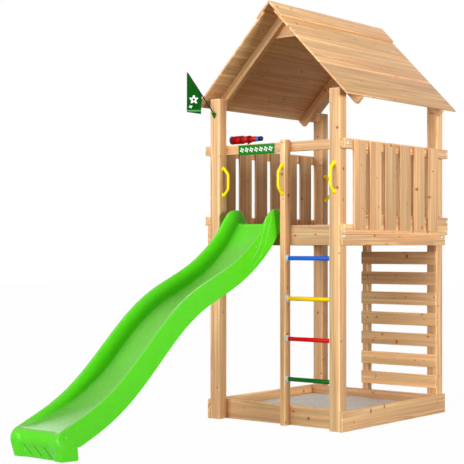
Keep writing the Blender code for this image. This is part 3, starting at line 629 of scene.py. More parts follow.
def finish_copies(tree, copies, given, result):
    """Makes the copies into one mesh with the finish, which is what the tree gives."""
    real = feed_named(tree, add(tree, "GeometryNodeRealizeInstances"), {"Geometry": copies})
    values = {"Geometry": real["Geometry"], "Material": given["Finish"]}
    dressed = feed_named(tree, add(tree, "GeometryNodeSetMaterial"), values)
    feed(tree, dressed["Geometry"], result["Geometry"])


def make_row_tree():
    """Repeats one board along a line and gives each copy its number."""
    inputs = (("Count", "NodeSocketInt", 6), ("Step", VECTOR, (0.0, 0.2, 0.0)))
    tree, sockets, given, result = new_copy_tree("board_row", inputs)
    line = add(tree, "GeometryNodeMeshLine", mode="OFFSET")
    points = feed_named(tree, line, {"Count": given["Count"], "Offset": given["Step"]})["Mesh"]
    values = {
        "Geometry": copies_on(tree, points, given).outputs["Instances"],
        "Name": "board_number",
        "Value": add(tree, "GeometryNodeInputIndex").outputs[0],
    }
    store = add(tree, "GeometryNodeStoreNamedAttribute", data_type="FLOAT", domain="INSTANCE")
    finish_copies(tree, feed_named(tree, store, values)["Geometry"], given, result)
    return tree, sockets


def make_fastener_tree():
    """Sets one fastener on every point, turned to face the way that the point says."""
    tree, sockets, given, result = new_copy_tree("fasteners")
    facing = add(tree, "GeometryNodeInputNamedAttribute", data_type="FLOAT_VECTOR")
    facing.inputs["Name"].default_value = "facing"
    turn = add(tree, "FunctionNodeAlignRotationToVector", axis="Z")
    feed(tree, facing.outputs["Attribute"], turn.inputs["Vector"])
    copies = copies_on(tree, given["Geometry"], given)
    feed(tree, turn.outputs["Rotation"], copies.inputs["Rotation"])
    finish_copies(tree, copies.outputs["Instances"], given, result)
    return tree, sockets


ROW_RECIPE = make_row_tree()
FASTENER_RECIPE = make_fastener_tree()


def grown_mesh(name, base_mesh, recipe, master_data, finish, **inputs):
    """Runs a geometry tree on a base mesh and returns the plain mesh that it makes."""
    tree, sockets = recipe
    master = placed(name + "_master", mesh_from(name + "_master", master_data, finish))
    base = placed(name + "_base", base_mesh)
    modifier = base.modifiers.new("grow", "NODES")
    modifier.node_group = tree
    for socket_name, value in {"Master": master, "Finish": finish, **inputs}.items():
        modifier[sockets[socket_name]] = value
    mesh = evaluated_mesh(name, base)
    bpy.data.objects.remove(base)
    bpy.data.objects.remove(master)
    return mesh


def board_row(name, nodes, low, high, count, step, grain, rounding, seed, tone):
    """A row of like boards that stands for one or more CAD nodes."""
    material = pine(name + "_pine", GRAIN_ALONG[grain], seed, middle_of(low, high), tone, step)
    start = bpy.data.meshes.new(name + "_start")
    master = rounded_box(low, high, rounding)
    mesh = grown_mesh(name, start, ROW_RECIPE, master, material, Count=count, Step=step)
    link_piece(name, mesh, TOWER, nodes)


def fasteners(name, master, finish, places):
    """Like fasteners at (point, facing) places."""
    points = bpy.data.meshes.new(name + "_points")
    points.from_pydata([tuple(point) for point, _ in places], [], [])
    facing = points.attributes.new("facing", "FLOAT_VECTOR", "POINT")
    for index, (_, way) in enumerate(places):
        facing.data[index].vector = way
    mesh = grown_mesh(name, points, FASTENER_RECIPE, master, finish)
    link_piece(name, mesh, TOWER)


# Timber frame: roundings of the edges, and tones against the common pine
POST_ROUND = 0.008
STILE_ROUND = 0.005
RAIL_ROUND = 0.004
BOARD_ROUND = 0.003
PALE_ROUND = 0.0025
BATTEN_ROUND = 0.002
BEAM_TONE = 0.82
STILE_TONE = 1.14
# The strip's tone is raised as painted light, making up for the shade under the palisade boards
STRIP_PAINTED_LIGHT_TONE = 1.28
STRIP_HIGH = 0.067


def build_frame():
    for end in ("front", "rear"):
        for side in ("left", "right"):
            timber("post_" + end + "_" + side, "z", POST_ROUND)
        timber("sandbox_board_" + end, "x", BOARD_ROUND)
        timber("deck_beam_" + end, "x", BOARD_ROUND, BEAM_TONE)
    for side in ("left", "right"):
        timber("sandbox_board_" + side, "y", BOARD_ROUND)
        timber("rail_top_" + side, "y", RAIL_ROUND)
        timber("rail_low_" + side, "y", RAIL_ROUND)
    timber("deck_beam_left", "y", BOARD_ROUND)
    timber("rail_top_front", "x", RAIL_ROUND)
    timber("ladder_stile", "z", STILE_ROUND, STILE_TONE)
    # The right deck beam has a strip along its outer face
    low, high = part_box("deck_beam_right")
    seam = low.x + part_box("deck_beam_left")[1].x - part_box("deck_beam_left")[0].x
    nodes = ("deck_beam_right",)
    board("deck_beam_right_board", nodes, low, (seam, high.y, high.z), "y", BOARD_ROUND, seed=77)
    # The strip is made paler as painted light, against the shade that the palisade boards above cast on it
    strip_low = (seam, low.y, high.z - STRIP_HIGH)
    board("deck_strip_right", nodes, strip_low, high, "y", BOARD_ROUND, seed=78, tone=STRIP_PAINTED_LIGHT_TONE)


# Palisades, deck and climbing wall
PALES = 6
# The left boards are darkened as painted shade, since they face into the tower
PALE_SHADE_TONES = {"left": 0.64, "right": 1.0}


def build_palisades():
    for side, tone in PALE_SHADE_TONES.items():
        names = ["palisade_" + side + "_" + str(index + 1) for index in range(PALES)]
        low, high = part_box(names[0])
        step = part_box(names[1])[0] - low
        board_row("palisade_" + side, names, low, high, PALES, step, "z", PALE_ROUND, seed=31, tone=tone)


DECK_BOARDS = 8
DECK_JOINT = 0.006
DECK_TONE = 0.96
BATTEN_WIDE = 0.045


def build_deck():
    low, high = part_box("deck_floor")
    nodes = ("deck_floor",)
    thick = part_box("sandbox_board_left")[1].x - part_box("sandbox_board_left")[0].x
    wide = (high.y - low.y - (DECK_BOARDS - 1) * DECK_JOINT) / DECK_BOARDS
    first = ((low.x, low.y, high.z - thick), (high.x, low.y + wide, high.z))
    step = (0.0, wide + DECK_JOINT, 0.0)
    board_row("deck_boards", nodes, *first, DECK_BOARDS, step, "x", PALE_ROUND, seed=5, tone=DECK_TONE)
    first = (low, (low.x + BATTEN_WIDE, high.y, high.z - thick))
    step = (high.x - low.x - BATTEN_WIDE, 0.0, 0.0)
    board_row("deck_battens", nodes, *first, 2, step, "y", BATTEN_ROUND, seed=6, tone=DECK_TONE)


SLATS = 7
SLAT_FIRST = 0.193
SLAT_HIGH = 0.100
SLAT_TO_BEAM = 0.049
SLAT_PITCH = (DECK_UNDER - SLAT_TO_BEAM - SLAT_HIGH - SLAT_FIRST) / (SLATS - 1)
PALE_THICK = 0.018
PALE_WIDE = 0.146
REAR_PALES = 4
REAR_PALE_MARGIN = 0.009
# The rear boards are darkened as painted shade, since they face into the tower
REAR_PALE_SHADE_TONE = 0.62
RAIL_THICK = 0.045
RAIL_HIGH = 0.070
REAR_BACK = POST_INNER - GAP
SLAT_FACE = REAR_BACK - PALE_THICK


def build_climbing_wall():
    """The rear stile, its climbing slats and the half wall above them."""
    low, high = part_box("climbing_wall")
    nodes = ("climbing_wall",)
    first = ((low.x, SLAT_FACE, SLAT_FIRST), (high.x, REAR_BACK, SLAT_FIRST + SLAT_HIGH))
    step = (0.0, 0.0, SLAT_PITCH)
    board_row("climbing_slats", nodes, *first, SLATS, step, "x", BOARD_ROUND, seed=12, tone=STILE_TONE)
    stile_low = (low.x, REAR_BACK, low.z)
    board("slat_stile", nodes, stile_low, (low.x + RAIL_THICK, high.y, high.z), "z", RAIL_ROUND, seed=13)
    rail_face = REAR_BACK - RAIL_THICK
    for name, like in (("rear_rail_top", "rail_top_front"), ("rear_rail_low", "rail_low_left")):
        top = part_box(like)[1].z
        rail_low = (low.x, rail_face, top - RAIL_HIGH)
        board(name, nodes, rail_low, (high.x, REAR_BACK, top), "x", RAIL_ROUND, seed=int(top * 90))
    pale_low, pale_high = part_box("palisade_left_1")
    step = ((high.x - low.x - PALE_WIDE - REAR_PALE_MARGIN) / (REAR_PALES - 1), 0.0, 0.0)
    first = ((low.x, rail_face - PALE_THICK, pale_low.z), (low.x + PALE_WIDE, rail_face, pale_high.z))
    looks = {"seed": 14, "tone": REAR_PALE_SHADE_TONE}
    board_row("rear_pales", nodes, *first, REAR_PALES, step, "z", PALE_ROUND, **looks)


# Roof, laid out down each slope as (distance down, depth under the outer plane)
ROOF_ANGLE = math.radians(45.6)
ROOF_CLEAR = 0.0476
ROOF_APEX = POST_HEIGHT + ROOF_CLEAR + HALF_W * math.tan(ROOF_ANGLE)
EAVE_OVERHANG = 0.136
ROOF_LENGTH = HALF_W / math.cos(ROOF_ANGLE) + EAVE_OVERHANG
ROOF_THICK = 0.014
ROOF_JOINT = 0.0015
ROOF_SPANS = {
    "upper": (0.075, 0.385 - ROOF_JOINT),
    "middle": (0.385, 0.650 - ROOF_JOINT),
    "eave": (0.650, ROOF_LENGTH),
}
ROOF_ROUND = 0.006
ROOF_TONE = 0.90
CAP_WIDE = 0.150
CAP_THICK = 0.014
RAFTER_DEEP = 0.062
RAFTER_THICK = 0.045
RAFTER_STAND_OFF = 0.040
RAFTER_TAIL = 0.006
RAFTER_OUTER = POST_INNER - RAFTER_STAND_OFF
RAFTER_INNER = RAFTER_OUTER - RAFTER_THICK
RAFTER_TONE = 1.04
PACKER_WIDE = 0.055
PACKER_LOW = POST_HEIGHT - 0.070
PACKER_TOP = POST_HEIGHT - 0.005
PACKER_BITE = 0.002
GUSSET_LOW = 2.830
GUSSET_HALF = 0.180
GUSSET_THICK = 0.018
GUSSET_ROUND = 0.002
GUSSET_TONE = 1.08
SIDES = {"left": -1, "right": 1}
ENDS = {"front": -1, "rear": 1}


def ridge_end(depth):
    """Where a piece at this depth stops, just short of the plane through the ridge."""
    return depth * math.tan(ROOF_ANGLE) + GAP


def slope_board(node, side, outline, y_span, turn, seed, tone=1.0, rounding=BOARD_ROUND):
    """A board or rafter that lies along one slope, between two places along the ridge."""
    down = Vector((side * math.cos(ROOF_ANGLE), 0, -math.sin(ROOF_ANGLE)))
    inward = Vector((-side * math.sin(ROOF_ANGLE), 0, -math.cos(ROOF_ANGLE)))
    apex = Vector((0, 0, ROOF_APEX))
    rings = []
    for y_place in y_span:
        rings.append([apex + down * far + inward * deep + Vector((0, y_place, 0)) for far, deep in outline])
    piece = ring_skin(rings)
    round_over(piece, rounding)
    centre = sum((vert.co for vert in piece.verts), Vector()) / len(piece.verts)
    material = pine(node + "_pine", turn, seed, centre, tone)
    make_piece(node + "_board", piece, material, "pine", (node,))


def build_roof_slope(side_name, side):
    low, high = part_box("roof_board_eave_right")
    y_span = (low.y, high.y)
    turn = (math.pi / 2, 0.0, side * ROOF_ANGLE)
    for index, (name, (start, end)) in enumerate(ROOF_SPANS.items()):
        outline = ((start, 0.0), (end, 0.0), (end, ROOF_THICK), (start, ROOF_THICK))
        node = "roof_board_" + name + "_" + side_name
        seed = 40 + index * 3 + side
        slope_board(node, side, outline, y_span, turn, seed, ROOF_TONE, ROOF_ROUND)
    cap_top = -GAP - CAP_THICK
    outline = (
        (ridge_end(cap_top), cap_top),
        (CAP_WIDE, cap_top),
        (CAP_WIDE, -GAP),
        (ridge_end(-GAP), -GAP),
    )
    slope_board("ridge_board_" + side_name, side, outline, y_span, turn, seed=60 + side)


def build_rafter(end_name, end, side_name, side):
    """A rafter with the packer between it and its post."""
    node = "rafter_" + end_name + "_" + side_name
    top = ROOF_THICK + GAP
    low = top + RAFTER_DEEP
    tail = ROOF_LENGTH + RAFTER_TAIL
    outline = ((ridge_end(top), top), (tail, top), (tail, low), (ridge_end(low), low))
    turn = (0.0, math.atan2(-side * math.cos(ROOF_ANGLE), -math.sin(ROOF_ANGLE)), 0.0)
    y_span = sorted((end * RAFTER_OUTER, end * RAFTER_INNER))
    slope_board(node, side, outline, y_span, turn, seed=70 + side + end * 3, tone=RAFTER_TONE)
    post_left = POST_SIDE if side > 0 else -HALF_W
    start = post_left if end < 0 else post_left + POST - PACKER_WIDE
    packer_y = sorted((end * (RAFTER_OUTER - PACKER_BITE), end * (POST_INNER - GAP)))
    packer_low = (start, packer_y[0], PACKER_LOW)
    packer_high = (start + PACKER_WIDE, packer_y[1], PACKER_TOP)
    seed = 90 + side + end * 3
    board(node + "_packer", (node,), packer_low, packer_high, "z", BATTEN_ROUND, seed)


def gusset_top(x_place):
    """Height of the boards' underside at this distance from the ridge."""
    return ROOF_APEX - x_place * math.tan(ROOF_ANGLE) - (ROOF_THICK + 2 * GAP) / math.cos(ROOF_ANGLE)


def build_gusset(end_name, end):
    """The plate that joins a pair of rafters under the ridge."""
    outline = (
        (-GUSSET_HALF, GUSSET_LOW),
        (GUSSET_HALF, GUSSET_LOW),
        (GUSSET_HALF, gusset_top(GUSSET_HALF)),
        (0.0, gusset_top(0.0)),
        (-GUSSET_HALF, gusset_top(GUSSET_HALF)),
    )
    faces = (end * RAFTER_INNER, end * (RAFTER_INNER - GUSSET_THICK))
    plate = ring_skin([[(x, y_place, z) for x, z in outline] for y_place in faces])
    round_over(plate, GUSSET_ROUND)
    name = "gusset_" + end_name
    centre = (0, faces[0], (GUSSET_LOW + ROOF_APEX) / 2)
    make_piece(name, plate, pine(name + "_pine", GRAIN_ALONG["x"], 95 + end, centre, GUSSET_TONE), "pine")


def build_roof():
    for side_name, side in SIDES.items():
        build_roof_slope(side_name, side)
    for end_name, end in ENDS.items():
        for side_name, side in SIDES.items():
            build_rafter(end_name, end, side_name, side)
        build_gusset(end_name, end)


# Slide: the same fall, wave and toe as the solid, with finer sections
SLIDE_MIDDLE = -0.213
SLIDE_HALF_TOP = 0.205
SKIRT_SPREAD = 0.030
TOE_SPREAD = 0.010
RIM_WIDE = 0.022
TOE_RIM_SPREAD = 0.045
RIM_HEIGHT = DECK_TOP + 0.0538
TOE_RIM_HEIGHT = 0.181
TOE_REACH = 2.065
WAVES = 1.5763
WAVE_HIGH = 0.052
RIM_FALL = (RIM_HEIGHT - TOE_RIM_HEIGHT - WAVE_HIGH * math.sin(math.tau * WAVES)) / TOE_REACH
CREST_LIFT = 0.042
CREST_LONG = 0.100
CREST_TOP = DECK_TOP + 0.1165
CREST_BACK = -0.125
SLIDE_BACK = -0.225
BACK_LIP = 0.022
DECK_REST = DECK_TOP + GAP
BEAM_REACH = -(POST - 0.002)
SKIRT_DEEP = 0.140
SKIRT_THICK = 0.012
BED_DEEP = 0.122
BED_THICK = 0.010
BED_LEAST = 0.004
BED_FADE = 3.0
BED_CURVE = 0.8
BED_CORNER = 0.022
TOE_ROUND = 0.070
TOE_LEAN = math.radians(-108)
TOE_RECESS = 0.020
HEEL_REACH = TOE_REACH - 0.098
HEEL_HIGH = 0.080
HEEL_END = 0.25
CREST_RIBS = 12
SLIDE_RIBS = 100
TOE_RIBS = 20
SLIDE_SMOOTH = 0.9
# Slots in the toe's panel, as (x, height) from end to end, and the ridges as (reach, height)
TOE_SLOTS = (
    ((-0.326, 0.086), (-0.276, 0.016)),
    ((-0.237, 0.086), (-0.189, 0.018)),
    ((-0.149, 0.080), (-0.095, 0.010)),
)
SLOT_WIDE = 0.0055
SLOT_DEEP = 0.005
SLOT_TAPER = 0.6
OUTER_RIDGES = (
    ((0.000, 1.520), (0.020, 1.470), (0.052, 1.395), (0.095, 1.310), (0.155, 1.225), (0.235, 1.158)),
    ((0.062, 1.512), (0.078, 1.450), (0.103, 1.385), (0.140, 1.318), (0.190, 1.252), (0.255, 1.190)),
)
RIDGE_RADIUS = 0.0018
RIDGE_STEPS = 6
RIDGE_SIDES = 10
# The slide's looks: a painted sheen, paler on the faces that look up, with pale flecks
SLIDE_GREEN = (0.100, 0.680, 0.010, 1.0)
PAINTED_SHEEN_GREEN = (0.195, 0.570, 0.080, 1.0)
FLECK_GREEN = (0.450, 0.850, 0.330, 1.0)
SLIDE_SHINE = 0.25
SLIDE_ROUGHNESS = 0.27
SLIDE_MOTTLE = 0.035
SLIDE_GRAIN = 0.002
SMOOTH_RELIEF = 0.00006
PAINTED_SHEEN_FACING = (0.55, 0.80)
PAINTED_SHEEN_NOISE = ((60.0, 6.0, 6.0), 3.0, 0.6)
PAINTED_SHEEN_RAMP = (0.2, 0.7, 0.75, 1.0)
FLECK_SCALE = (30.0, 30.0, 13.0)
FLECK_SIZE = 0.13
FLECK_CHANCE = 0.14
FLECK_SHARE = 0.55


def rim_height(reach):
    """Height of the rim at this distance in front of the posts' front face."""
    wave = WAVE_HIGH * math.sin(math.tau * WAVES * reach / TOE_REACH)
    crest = CREST_LIFT * math.exp(-((reach / CREST_LONG) ** 2))
    return RIM_HEIGHT - RIM_FALL * reach - wave + crest


def rim_slope(reach):
    step = 0.001
    return (rim_height(reach + step) - rim_height(reach - step)) / (2 * step)


def crest_ribs():
    """The walls rise from the deck end of the slide and run level over its crest."""
    ribs = []
    low = DECK_REST + BACK_LIP
    for step in range(CREST_RIBS):
        share = step / (CREST_RIBS - 1)
        ease = share * share * (3 - 2 * share)
        reach = SLIDE_BACK + (CREST_BACK - SLIDE_BACK) * share
        top = low + (CREST_TOP - low) * ease
        ribs.append(((reach, top), (reach, DECK_REST), top - DECK_REST - BED_THICK))
    # At the deck's edge the rim goes ahead of the foot, so that the ribs turn to follow the run
    deep = CREST_TOP - DECK_REST
    middle = (CREST_BACK + BEAM_REACH) / 2
    ribs.append(((middle, CREST_TOP), (middle, DECK_REST), deep - BED_THICK))
    ribs.append(((BEAM_REACH * 0.70, CREST_TOP), (BEAM_REACH, DECK_REST), deep - BED_THICK * 0.9))
    turn = (BEAM_REACH * 0.34, CREST_TOP - CREST_LIFT * 0.10)
    ribs.append((turn, (BEAM_REACH + GAP, DECK_REST - BED_THICK * 0.4), deep))
    return ribs


def run_ribs():
    """The main run, with the skirt square to the rim."""
    ribs = []
    for step in range(SLIDE_RIBS):
        share = step / (SLIDE_RIBS - 1)
        reach = TOE_REACH * share
        slope = rim_slope(reach)
        long = math.hypot(1, slope)
        foot_reach = reach + slope * SKIRT_DEEP / long
        foot_height = rim_height(reach) - SKIRT_DEEP / long
        foot_reach = min(max(foot_reach, BEAM_REACH + 2 * GAP), HEEL_REACH)
        foot = (foot_reach, max(foot_height, HEEL_HIGH))
        bed = BED_DEEP * min(1.0, (1.0 - share) * BED_FADE) ** BED_CURVE + BED_LEAST
        ribs.append(((reach, rim_height(reach)), foot, bed))
    return ribs


def toe_ribs():
    """The rounded toe and the front face that leans back to the ground."""
    angle_from = math.atan2(rim_slope(TOE_REACH), 1)
    turn = (TOE_LEAN - angle_from) / TOE_RIBS
    place = Vector((TOE_REACH, rim_height(TOE_REACH)))
    ribs = []
    for index in range(TOE_RIBS):
        middle = angle_from + turn * (index + 0.5)
        place = place + Vector((math.cos(middle), math.sin(middle))) * TOE_ROUND * abs(turn)
        share = (index + 1) / TOE_RIBS
        foot = (HEEL_REACH, HEEL_HIGH * (1 - (1 - HEEL_END) * share))
        ribs.append((tuple(place), foot, BED_LEAST + (TOE_RECESS - BED_LEAST) * share, share))
    lean = Vector((math.cos(TOE_LEAN), math.sin(TOE_LEAN)))
    down = place + lean * (place.y / -lean.y)
    for share in (0.5, 1.0):
        spot = place.lerp(down, share)
        foot = (HEEL_REACH, HEEL_HIGH * HEEL_END * (1 - share))
        ribs.append((tuple(spot), foot, TOE_RECESS, 1.0))
    return ribs


def slide_section(rim, foot, bed, toe_share=0.0):
    """Points of the channel's section, right side first, between one rim and foot."""
    rim = Vector(rim)
    foot = Vector(foot)
    deep = (rim - foot).length
    up = (rim - foot) / deep
    top = SLIDE_HALF_TOP + TOE_SPREAD * toe_share
    flare = SKIRT_SPREAD * min(1.0, deep / SKIRT_DEEP)
    under = min(bed + BED_THICK, deep - 0.2 * BED_THICK)
    corner = min(BED_CORNER, bed * 0.5)
    outside = top + flare * under / deep
    inner = top - RIM_WIDE - TOE_RIM_SPREAD * toe_share
    half = (
        (top + flare, 0.0),
        (top + flare * 0.5, deep * 0.5),
        (top + 0.05 * RIM_WIDE, deep - 0.35 * RIM_WIDE),
        (top - 0.03 * RIM_WIDE, deep - 0.16 * RIM_WIDE),
        (top - 0.18 * RIM_WIDE, deep - 0.05 * RIM_WIDE),
        (top - 0.50 * RIM_WIDE, deep),
        (inner, deep - min(0.1 * RIM_WIDE, bed * 0.3)),
        (inner - 0.09 * BED_CORNER, deep - min(0.25 * RIM_WIDE, bed * 0.4)),
        (inner - 0.2 * BED_CORNER, deep - min(0.45 * RIM_WIDE, bed * 0.5)),
        (inner - 0.7 * BED_CORNER, deep - bed + corner),
        (inner - 0.9 * BED_CORNER, deep - bed + corner * 0.4),
        (inner - 1.07 * BED_CORNER, deep - bed + corner * 0.2),
        (inner - 1.3 * BED_CORNER, deep - bed + corner * 0.1),
        (inner - 2.1 * BED_CORNER, deep - bed),
    )
    inside = (
        (top + flare - SKIRT_THICK, 0.0),
        (outside - SKIRT_THICK, deep - under),
    )
    mirrored = tuple((-across, climb) for across, climb in half[::-1] + inside)
    ring = []
    for across, climb in half + mirrored + inside[::-1]:
        spot = foot + up * climb
        ring.append(Vector((SLIDE_MIDDLE + across, -HALF_D - spot.x, spot.y)))
    return ring


def panel_point(x_place, height):
    """A point on the toe's recessed panel, which is flat between its rounding and the ground."""
    upper, _, lower = toe_ribs()[-3:]
    ends = []
    for rim, foot, bed, _ in (lower, upper):
        up = (Vector(rim) - Vector(foot)).normalized()
        ends.append(Vector(rim) - up * bed)
    share = (height - ends[0].y) / (ends[1].y - ends[0].y)
    spot = ends[0].lerp(ends[1], share)
    return Vector((x_place, -HALF_D - spot.x, spot.y))


def slot_cutter():
    """Slanted slots across the toe's panel."""
    lower = panel_point(SLIDE_MIDDLE, 0.0)
    upper = panel_point(SLIDE_MIDDLE, HEEL_HIGH)
    outward = (upper - lower).cross(Vector((1, 0, 0))).normalized()
    outward *= -SLOT_DEEP if outward.y > 0 else SLOT_DEEP
    corners = ((1, 1), (-1, 1), (-SLOT_TAPER, -1), (SLOT_TAPER, -1))
    cutter = bmesh.new()
    for start, end in TOE_SLOTS:
        ends = [panel_point(*start), panel_point(*end)]
        side = (ends[1] - ends[0]).cross(outward).normalized() * SLOT_WIDE / 2
        rings = [[spot + side * across + outward * out for across, out in corners] for spot in ends]
        ring_skin(rings, cutter)
    return cutter


def cut_away(name, mesh, cutter_mesh):
    """The mesh with the cutter taken out of it, whose cut faces keep the cutter's material."""
    kept = placed("kept", mesh)
    cutter = placed("cutter", cutter_mesh)
    step = kept.modifiers.new("cut", "BOOLEAN")
    step.operation = "DIFFERENCE"
    step.solver = "EXACT"
    step.material_mode = "TRANSFER"
    step.object = cutter
    result = evaluated_mesh(name, kept)
    bpy.data.objects.remove(kept)
    bpy.data.objects.remove(cutter)
    return result


def outer_wall(reach, height):
    """A point on the right outer wall."""
    slope = rim_slope(max(reach, 0.0))
    below = (rim_height(max(reach, 0.0)) - height) / math.hypot(1, slope)
    spread = SKIRT_SPREAD * min(max(below / SKIRT_DEEP, 0.0), 1.0)
    return Vector((SLIDE_MIDDLE + SLIDE_HALF_TOP + spread, -HALF_D - reach, height))


def slide_finish():
    """Moulded green, paler on the faces that look up as a painted sheen, with a few flecks."""
    material, tree, shader = new_material("slide_green")
    where = add(tree, "ShaderNodeTexCoord").outputs
    facing = separated(tree, where["Normal"])
    scuffs = noise(tree, where["Object"], *PAINTED_SHEEN_NOISE)
    # Faces that look up are made paler, a painted sheen broken up by noise
    painted_sheen = smooth_step(tree, facing[2], *PAINTED_SHEEN_FACING)
    painted_sheen = times(tree, painted_sheen, smooth_step(tree, scuffs, *PAINTED_SHEEN_RAMP))
    distance, chance, _ = random_cells(tree, stretched(tree, where["Object"], FLECK_SCALE))
    fleck = calculate(tree, "LESS_THAN", distance, FLECK_SIZE)
    fleck = times(tree, fleck, calculate(tree, "LESS_THAN", chance, FLECK_CHANCE))
    colour = blend(tree, painted_sheen, SLIDE_GREEN, PAINTED_SHEEN_GREEN)
    colour = blend(tree, times(tree, fleck, FLECK_SHARE), colour, FLECK_GREEN)
    looks = (colour, SLIDE_ROUGHNESS, SLIDE_MOTTLE, SLIDE_GRAIN, SMOOTH_RELIEF, SLIDE_SHINE)
    handled(tree, shader, *looks)
    return material


def build_slide():
    ribs = crest_ribs() + run_ribs() + toe_ribs()
    shell = ring_skin([slide_section(*rib) for rib in ribs])
    mesh = mesh_from("slide_shell_uncut", shell, slide_finish(), SLIDE_SMOOTH)
    # The slots' cut faces take the darker green, painted shade in the recesses
    cutter = mesh_from("slot_cutter", slot_cutter(), moulded("slide_slot_shade_green"))
    mesh = cut_away("slide_shell", mesh, cutter)
    mesh.set_sharp_from_angle(angle=SLIDE_SMOOTH)
    link_piece("slide_shell", mesh, TOWER, ("slide",))
    # The ridges take a paler green as a painted highlight
    ridge_highlight_finish = moulded("slide_ridge_highlight_green")
    for index, route in enumerate(OUTER_RIDGES):
        points = [(outer_wall(reach, height), RIDGE_RADIUS) for reach, height in route]
        ridge = swept(smooth_path(points, RIDGE_STEPS), RIDGE_SIDES)
        make_piece("slide_ridge_" + str(index + 1), ridge, ridge_highlight_finish, "slide_plastic", ("slide",))


# Ladder rungs: stations as (distance along, what is added to the radius of the flange or of the bar)
RUNGS = ("green", "red", "yellow", "blue")
RUNG_BAR = 0.016
FLANGE_DISC = ((0.0, -0.003), (0.0015, -0.0005), (0.006, 0.0), (0.0085, -0.002), (0.010, -0.005))
FLANGE_NECK = ((0.011, 0.002), (0.014, 0.0005))
BAR_END = ((0.008, -0.001), (0.010, 0.0))


def build_rungs():
    flange_finish = moulded("flange_pale")
    for colour_name in RUNGS:
        node = "rung_" + colour_name
        low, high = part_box(node)
        middle = middle_of(low, high)
        length = high.x - low.x
        stations = [(along, RUNG_BAR + more) for along, more in BAR_END]
        stations += [(length - along, radius) for along, radius in reversed(stations)]
        bar = turned(stations, (low.x, middle.y, middle.z), (1, 0, 0))
        make_piece(node + "_bar", bar, moulded(node + "_coat"), node, (node,))
        stations = [(along, (high.z - low.z) / 2 + more) for along, more in FLANGE_DISC]
        stations += [(along, RUNG_BAR + more) for along, more in FLANGE_NECK]
        for end_name, start, way in (("left", low.x, 1), ("right", high.x, -1)):
            flange = turned(stations, (start, middle.y, middle.z), (way, 0, 0))
            make_piece(node + "_flange_" + end_name, flange, flange_finish, node, (node,))


# Grab handles, with the way that each stands out, and half a handle as (height, stand-off, radius)
HANDLES = {
    "handle_slide_left": (1, 0, 0),
    "handle_stile": (0, -1, 0),
    "handle_front_post": (0, -1, 0),
    "handle_rear_post": (1, 0, 0),
}
GRIP_FOOT = 0.018
GRIP_BAR = 0.0105
HALF_GRIP = (
    (0.0, 0.0, GRIP_FOOT),
    (0.0, 0.004, GRIP_FOOT),
    (0.0, 0.0075, GRIP_FOOT * 0.97),
    (0.001, 0.011, GRIP_FOOT * 0.82),
    (0.004, 0.0155, GRIP_FOOT * 0.62),
    (0.012, 0.023, GRIP_BAR),
    (0.024, 0.034, GRIP_BAR),
    (0.037, 0.045, GRIP_BAR),
    (0.052, 0.0497, GRIP_BAR),
    (0.075, 0.0500, GRIP_BAR),
)
GRIP_STEPS = 3
GRIP_SIDES = 24
GRIP_SMOOTH = 1.2


def build_handles():
    finish = moulded("handle_yellow")
    for node, way in HANDLES.items():
        low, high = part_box(node)
        middle = middle_of(low, high)
        rest = Vector((middle.x, middle.y, low.z + GRIP_FOOT))
        reach_axis = 0 if way[0] else 1
        rest[reach_axis] = low.x if way[0] else high.y
        span = high.z - low.z - 2 * GRIP_FOOT
        halves = list(HALF_GRIP) + [(span - up, off, size) for up, off, size in reversed(HALF_GRIP)]
        points = [(rest + Vector((0, 0, up)) + Vector(way) * off, size) for up, off, size in halves]
        grip = swept(smooth_path(points, GRIP_STEPS), GRIP_SIDES)
        make_piece(node + "_grip", grip, finish, "yellow_plastic", (node,), smooth_angle=GRIP_SMOOTH)


# Sand: its mounds and ripples in radians for each metre of x and y, then its looks
SAND_CELLS = 60
SAND_DIP = 0.004
SAND_RISE = 0.005
SAND_SMOOTH = 1.0
MOUND_X = 7.1
MOUND_Y = 6.3
RIPPLE_X = 23.0
RIPPLE_Y = 17.0
RIPPLE_SHARE = 0.3
SAND_PALE = (0.93, 0.93, 0.88, 1.0)
SAND_GREY = (0.83, 0.82, 0.77, 1.0)
SAND_ROUGHNESS = 0.95
SAND_RELIEF = 0.002
GRAIN_NOISE = (520.0, 2.0, 0.7)
GRAIN_RAMP = (0.25, 0.75, 0.82, 1.14)
CLUMP_NOISE = (36.0, 4.0, 0.6)
CLUMP_RAMP = (0.35, 0.65)
CLUMP_HEIGHT = 3.0
DRIFT_SCALE = 6.0
DRIFT_RAMP = (0.3, 0.7, 0.95, 1.05)


def sand_height(x_place, y_place, top):
    mounds = math.sin(x_place * MOUND_X + 0.6) * math.cos(y_place * MOUND_Y - 0.4)
    ripples = math.sin(x_place * RIPPLE_X + y_place * RIPPLE_Y) * RIPPLE_SHARE
    return top - SAND_DIP + SAND_RISE * (mounds + ripples)


def sand_finish():
    material, tree, shader = new_material("play_sand")
    where = object_place(tree)
    grains = noise(tree, where, *GRAIN_NOISE)
    clumps = noise(tree, where, *CLUMP_NOISE)
    colour = blend(tree, smooth_step(tree, clumps, *CLUMP_RAMP), SAND_PALE, SAND_GREY)
    level = smooth_step(tree, grains, *GRAIN_RAMP)
    level = times(tree, level, smooth_step(tree, noise(tree, where, DRIFT_SCALE), *DRIFT_RAMP))
    height = plus(tree, grains, times(tree, clumps, CLUMP_HEIGHT))
    looks = {"Color": multiplied(tree, colour, level), "Roughness": SAND_ROUGHNESS, "Height": height}
    dress_shader(tree, shader, looks, SAND_RELIEF)
    return material


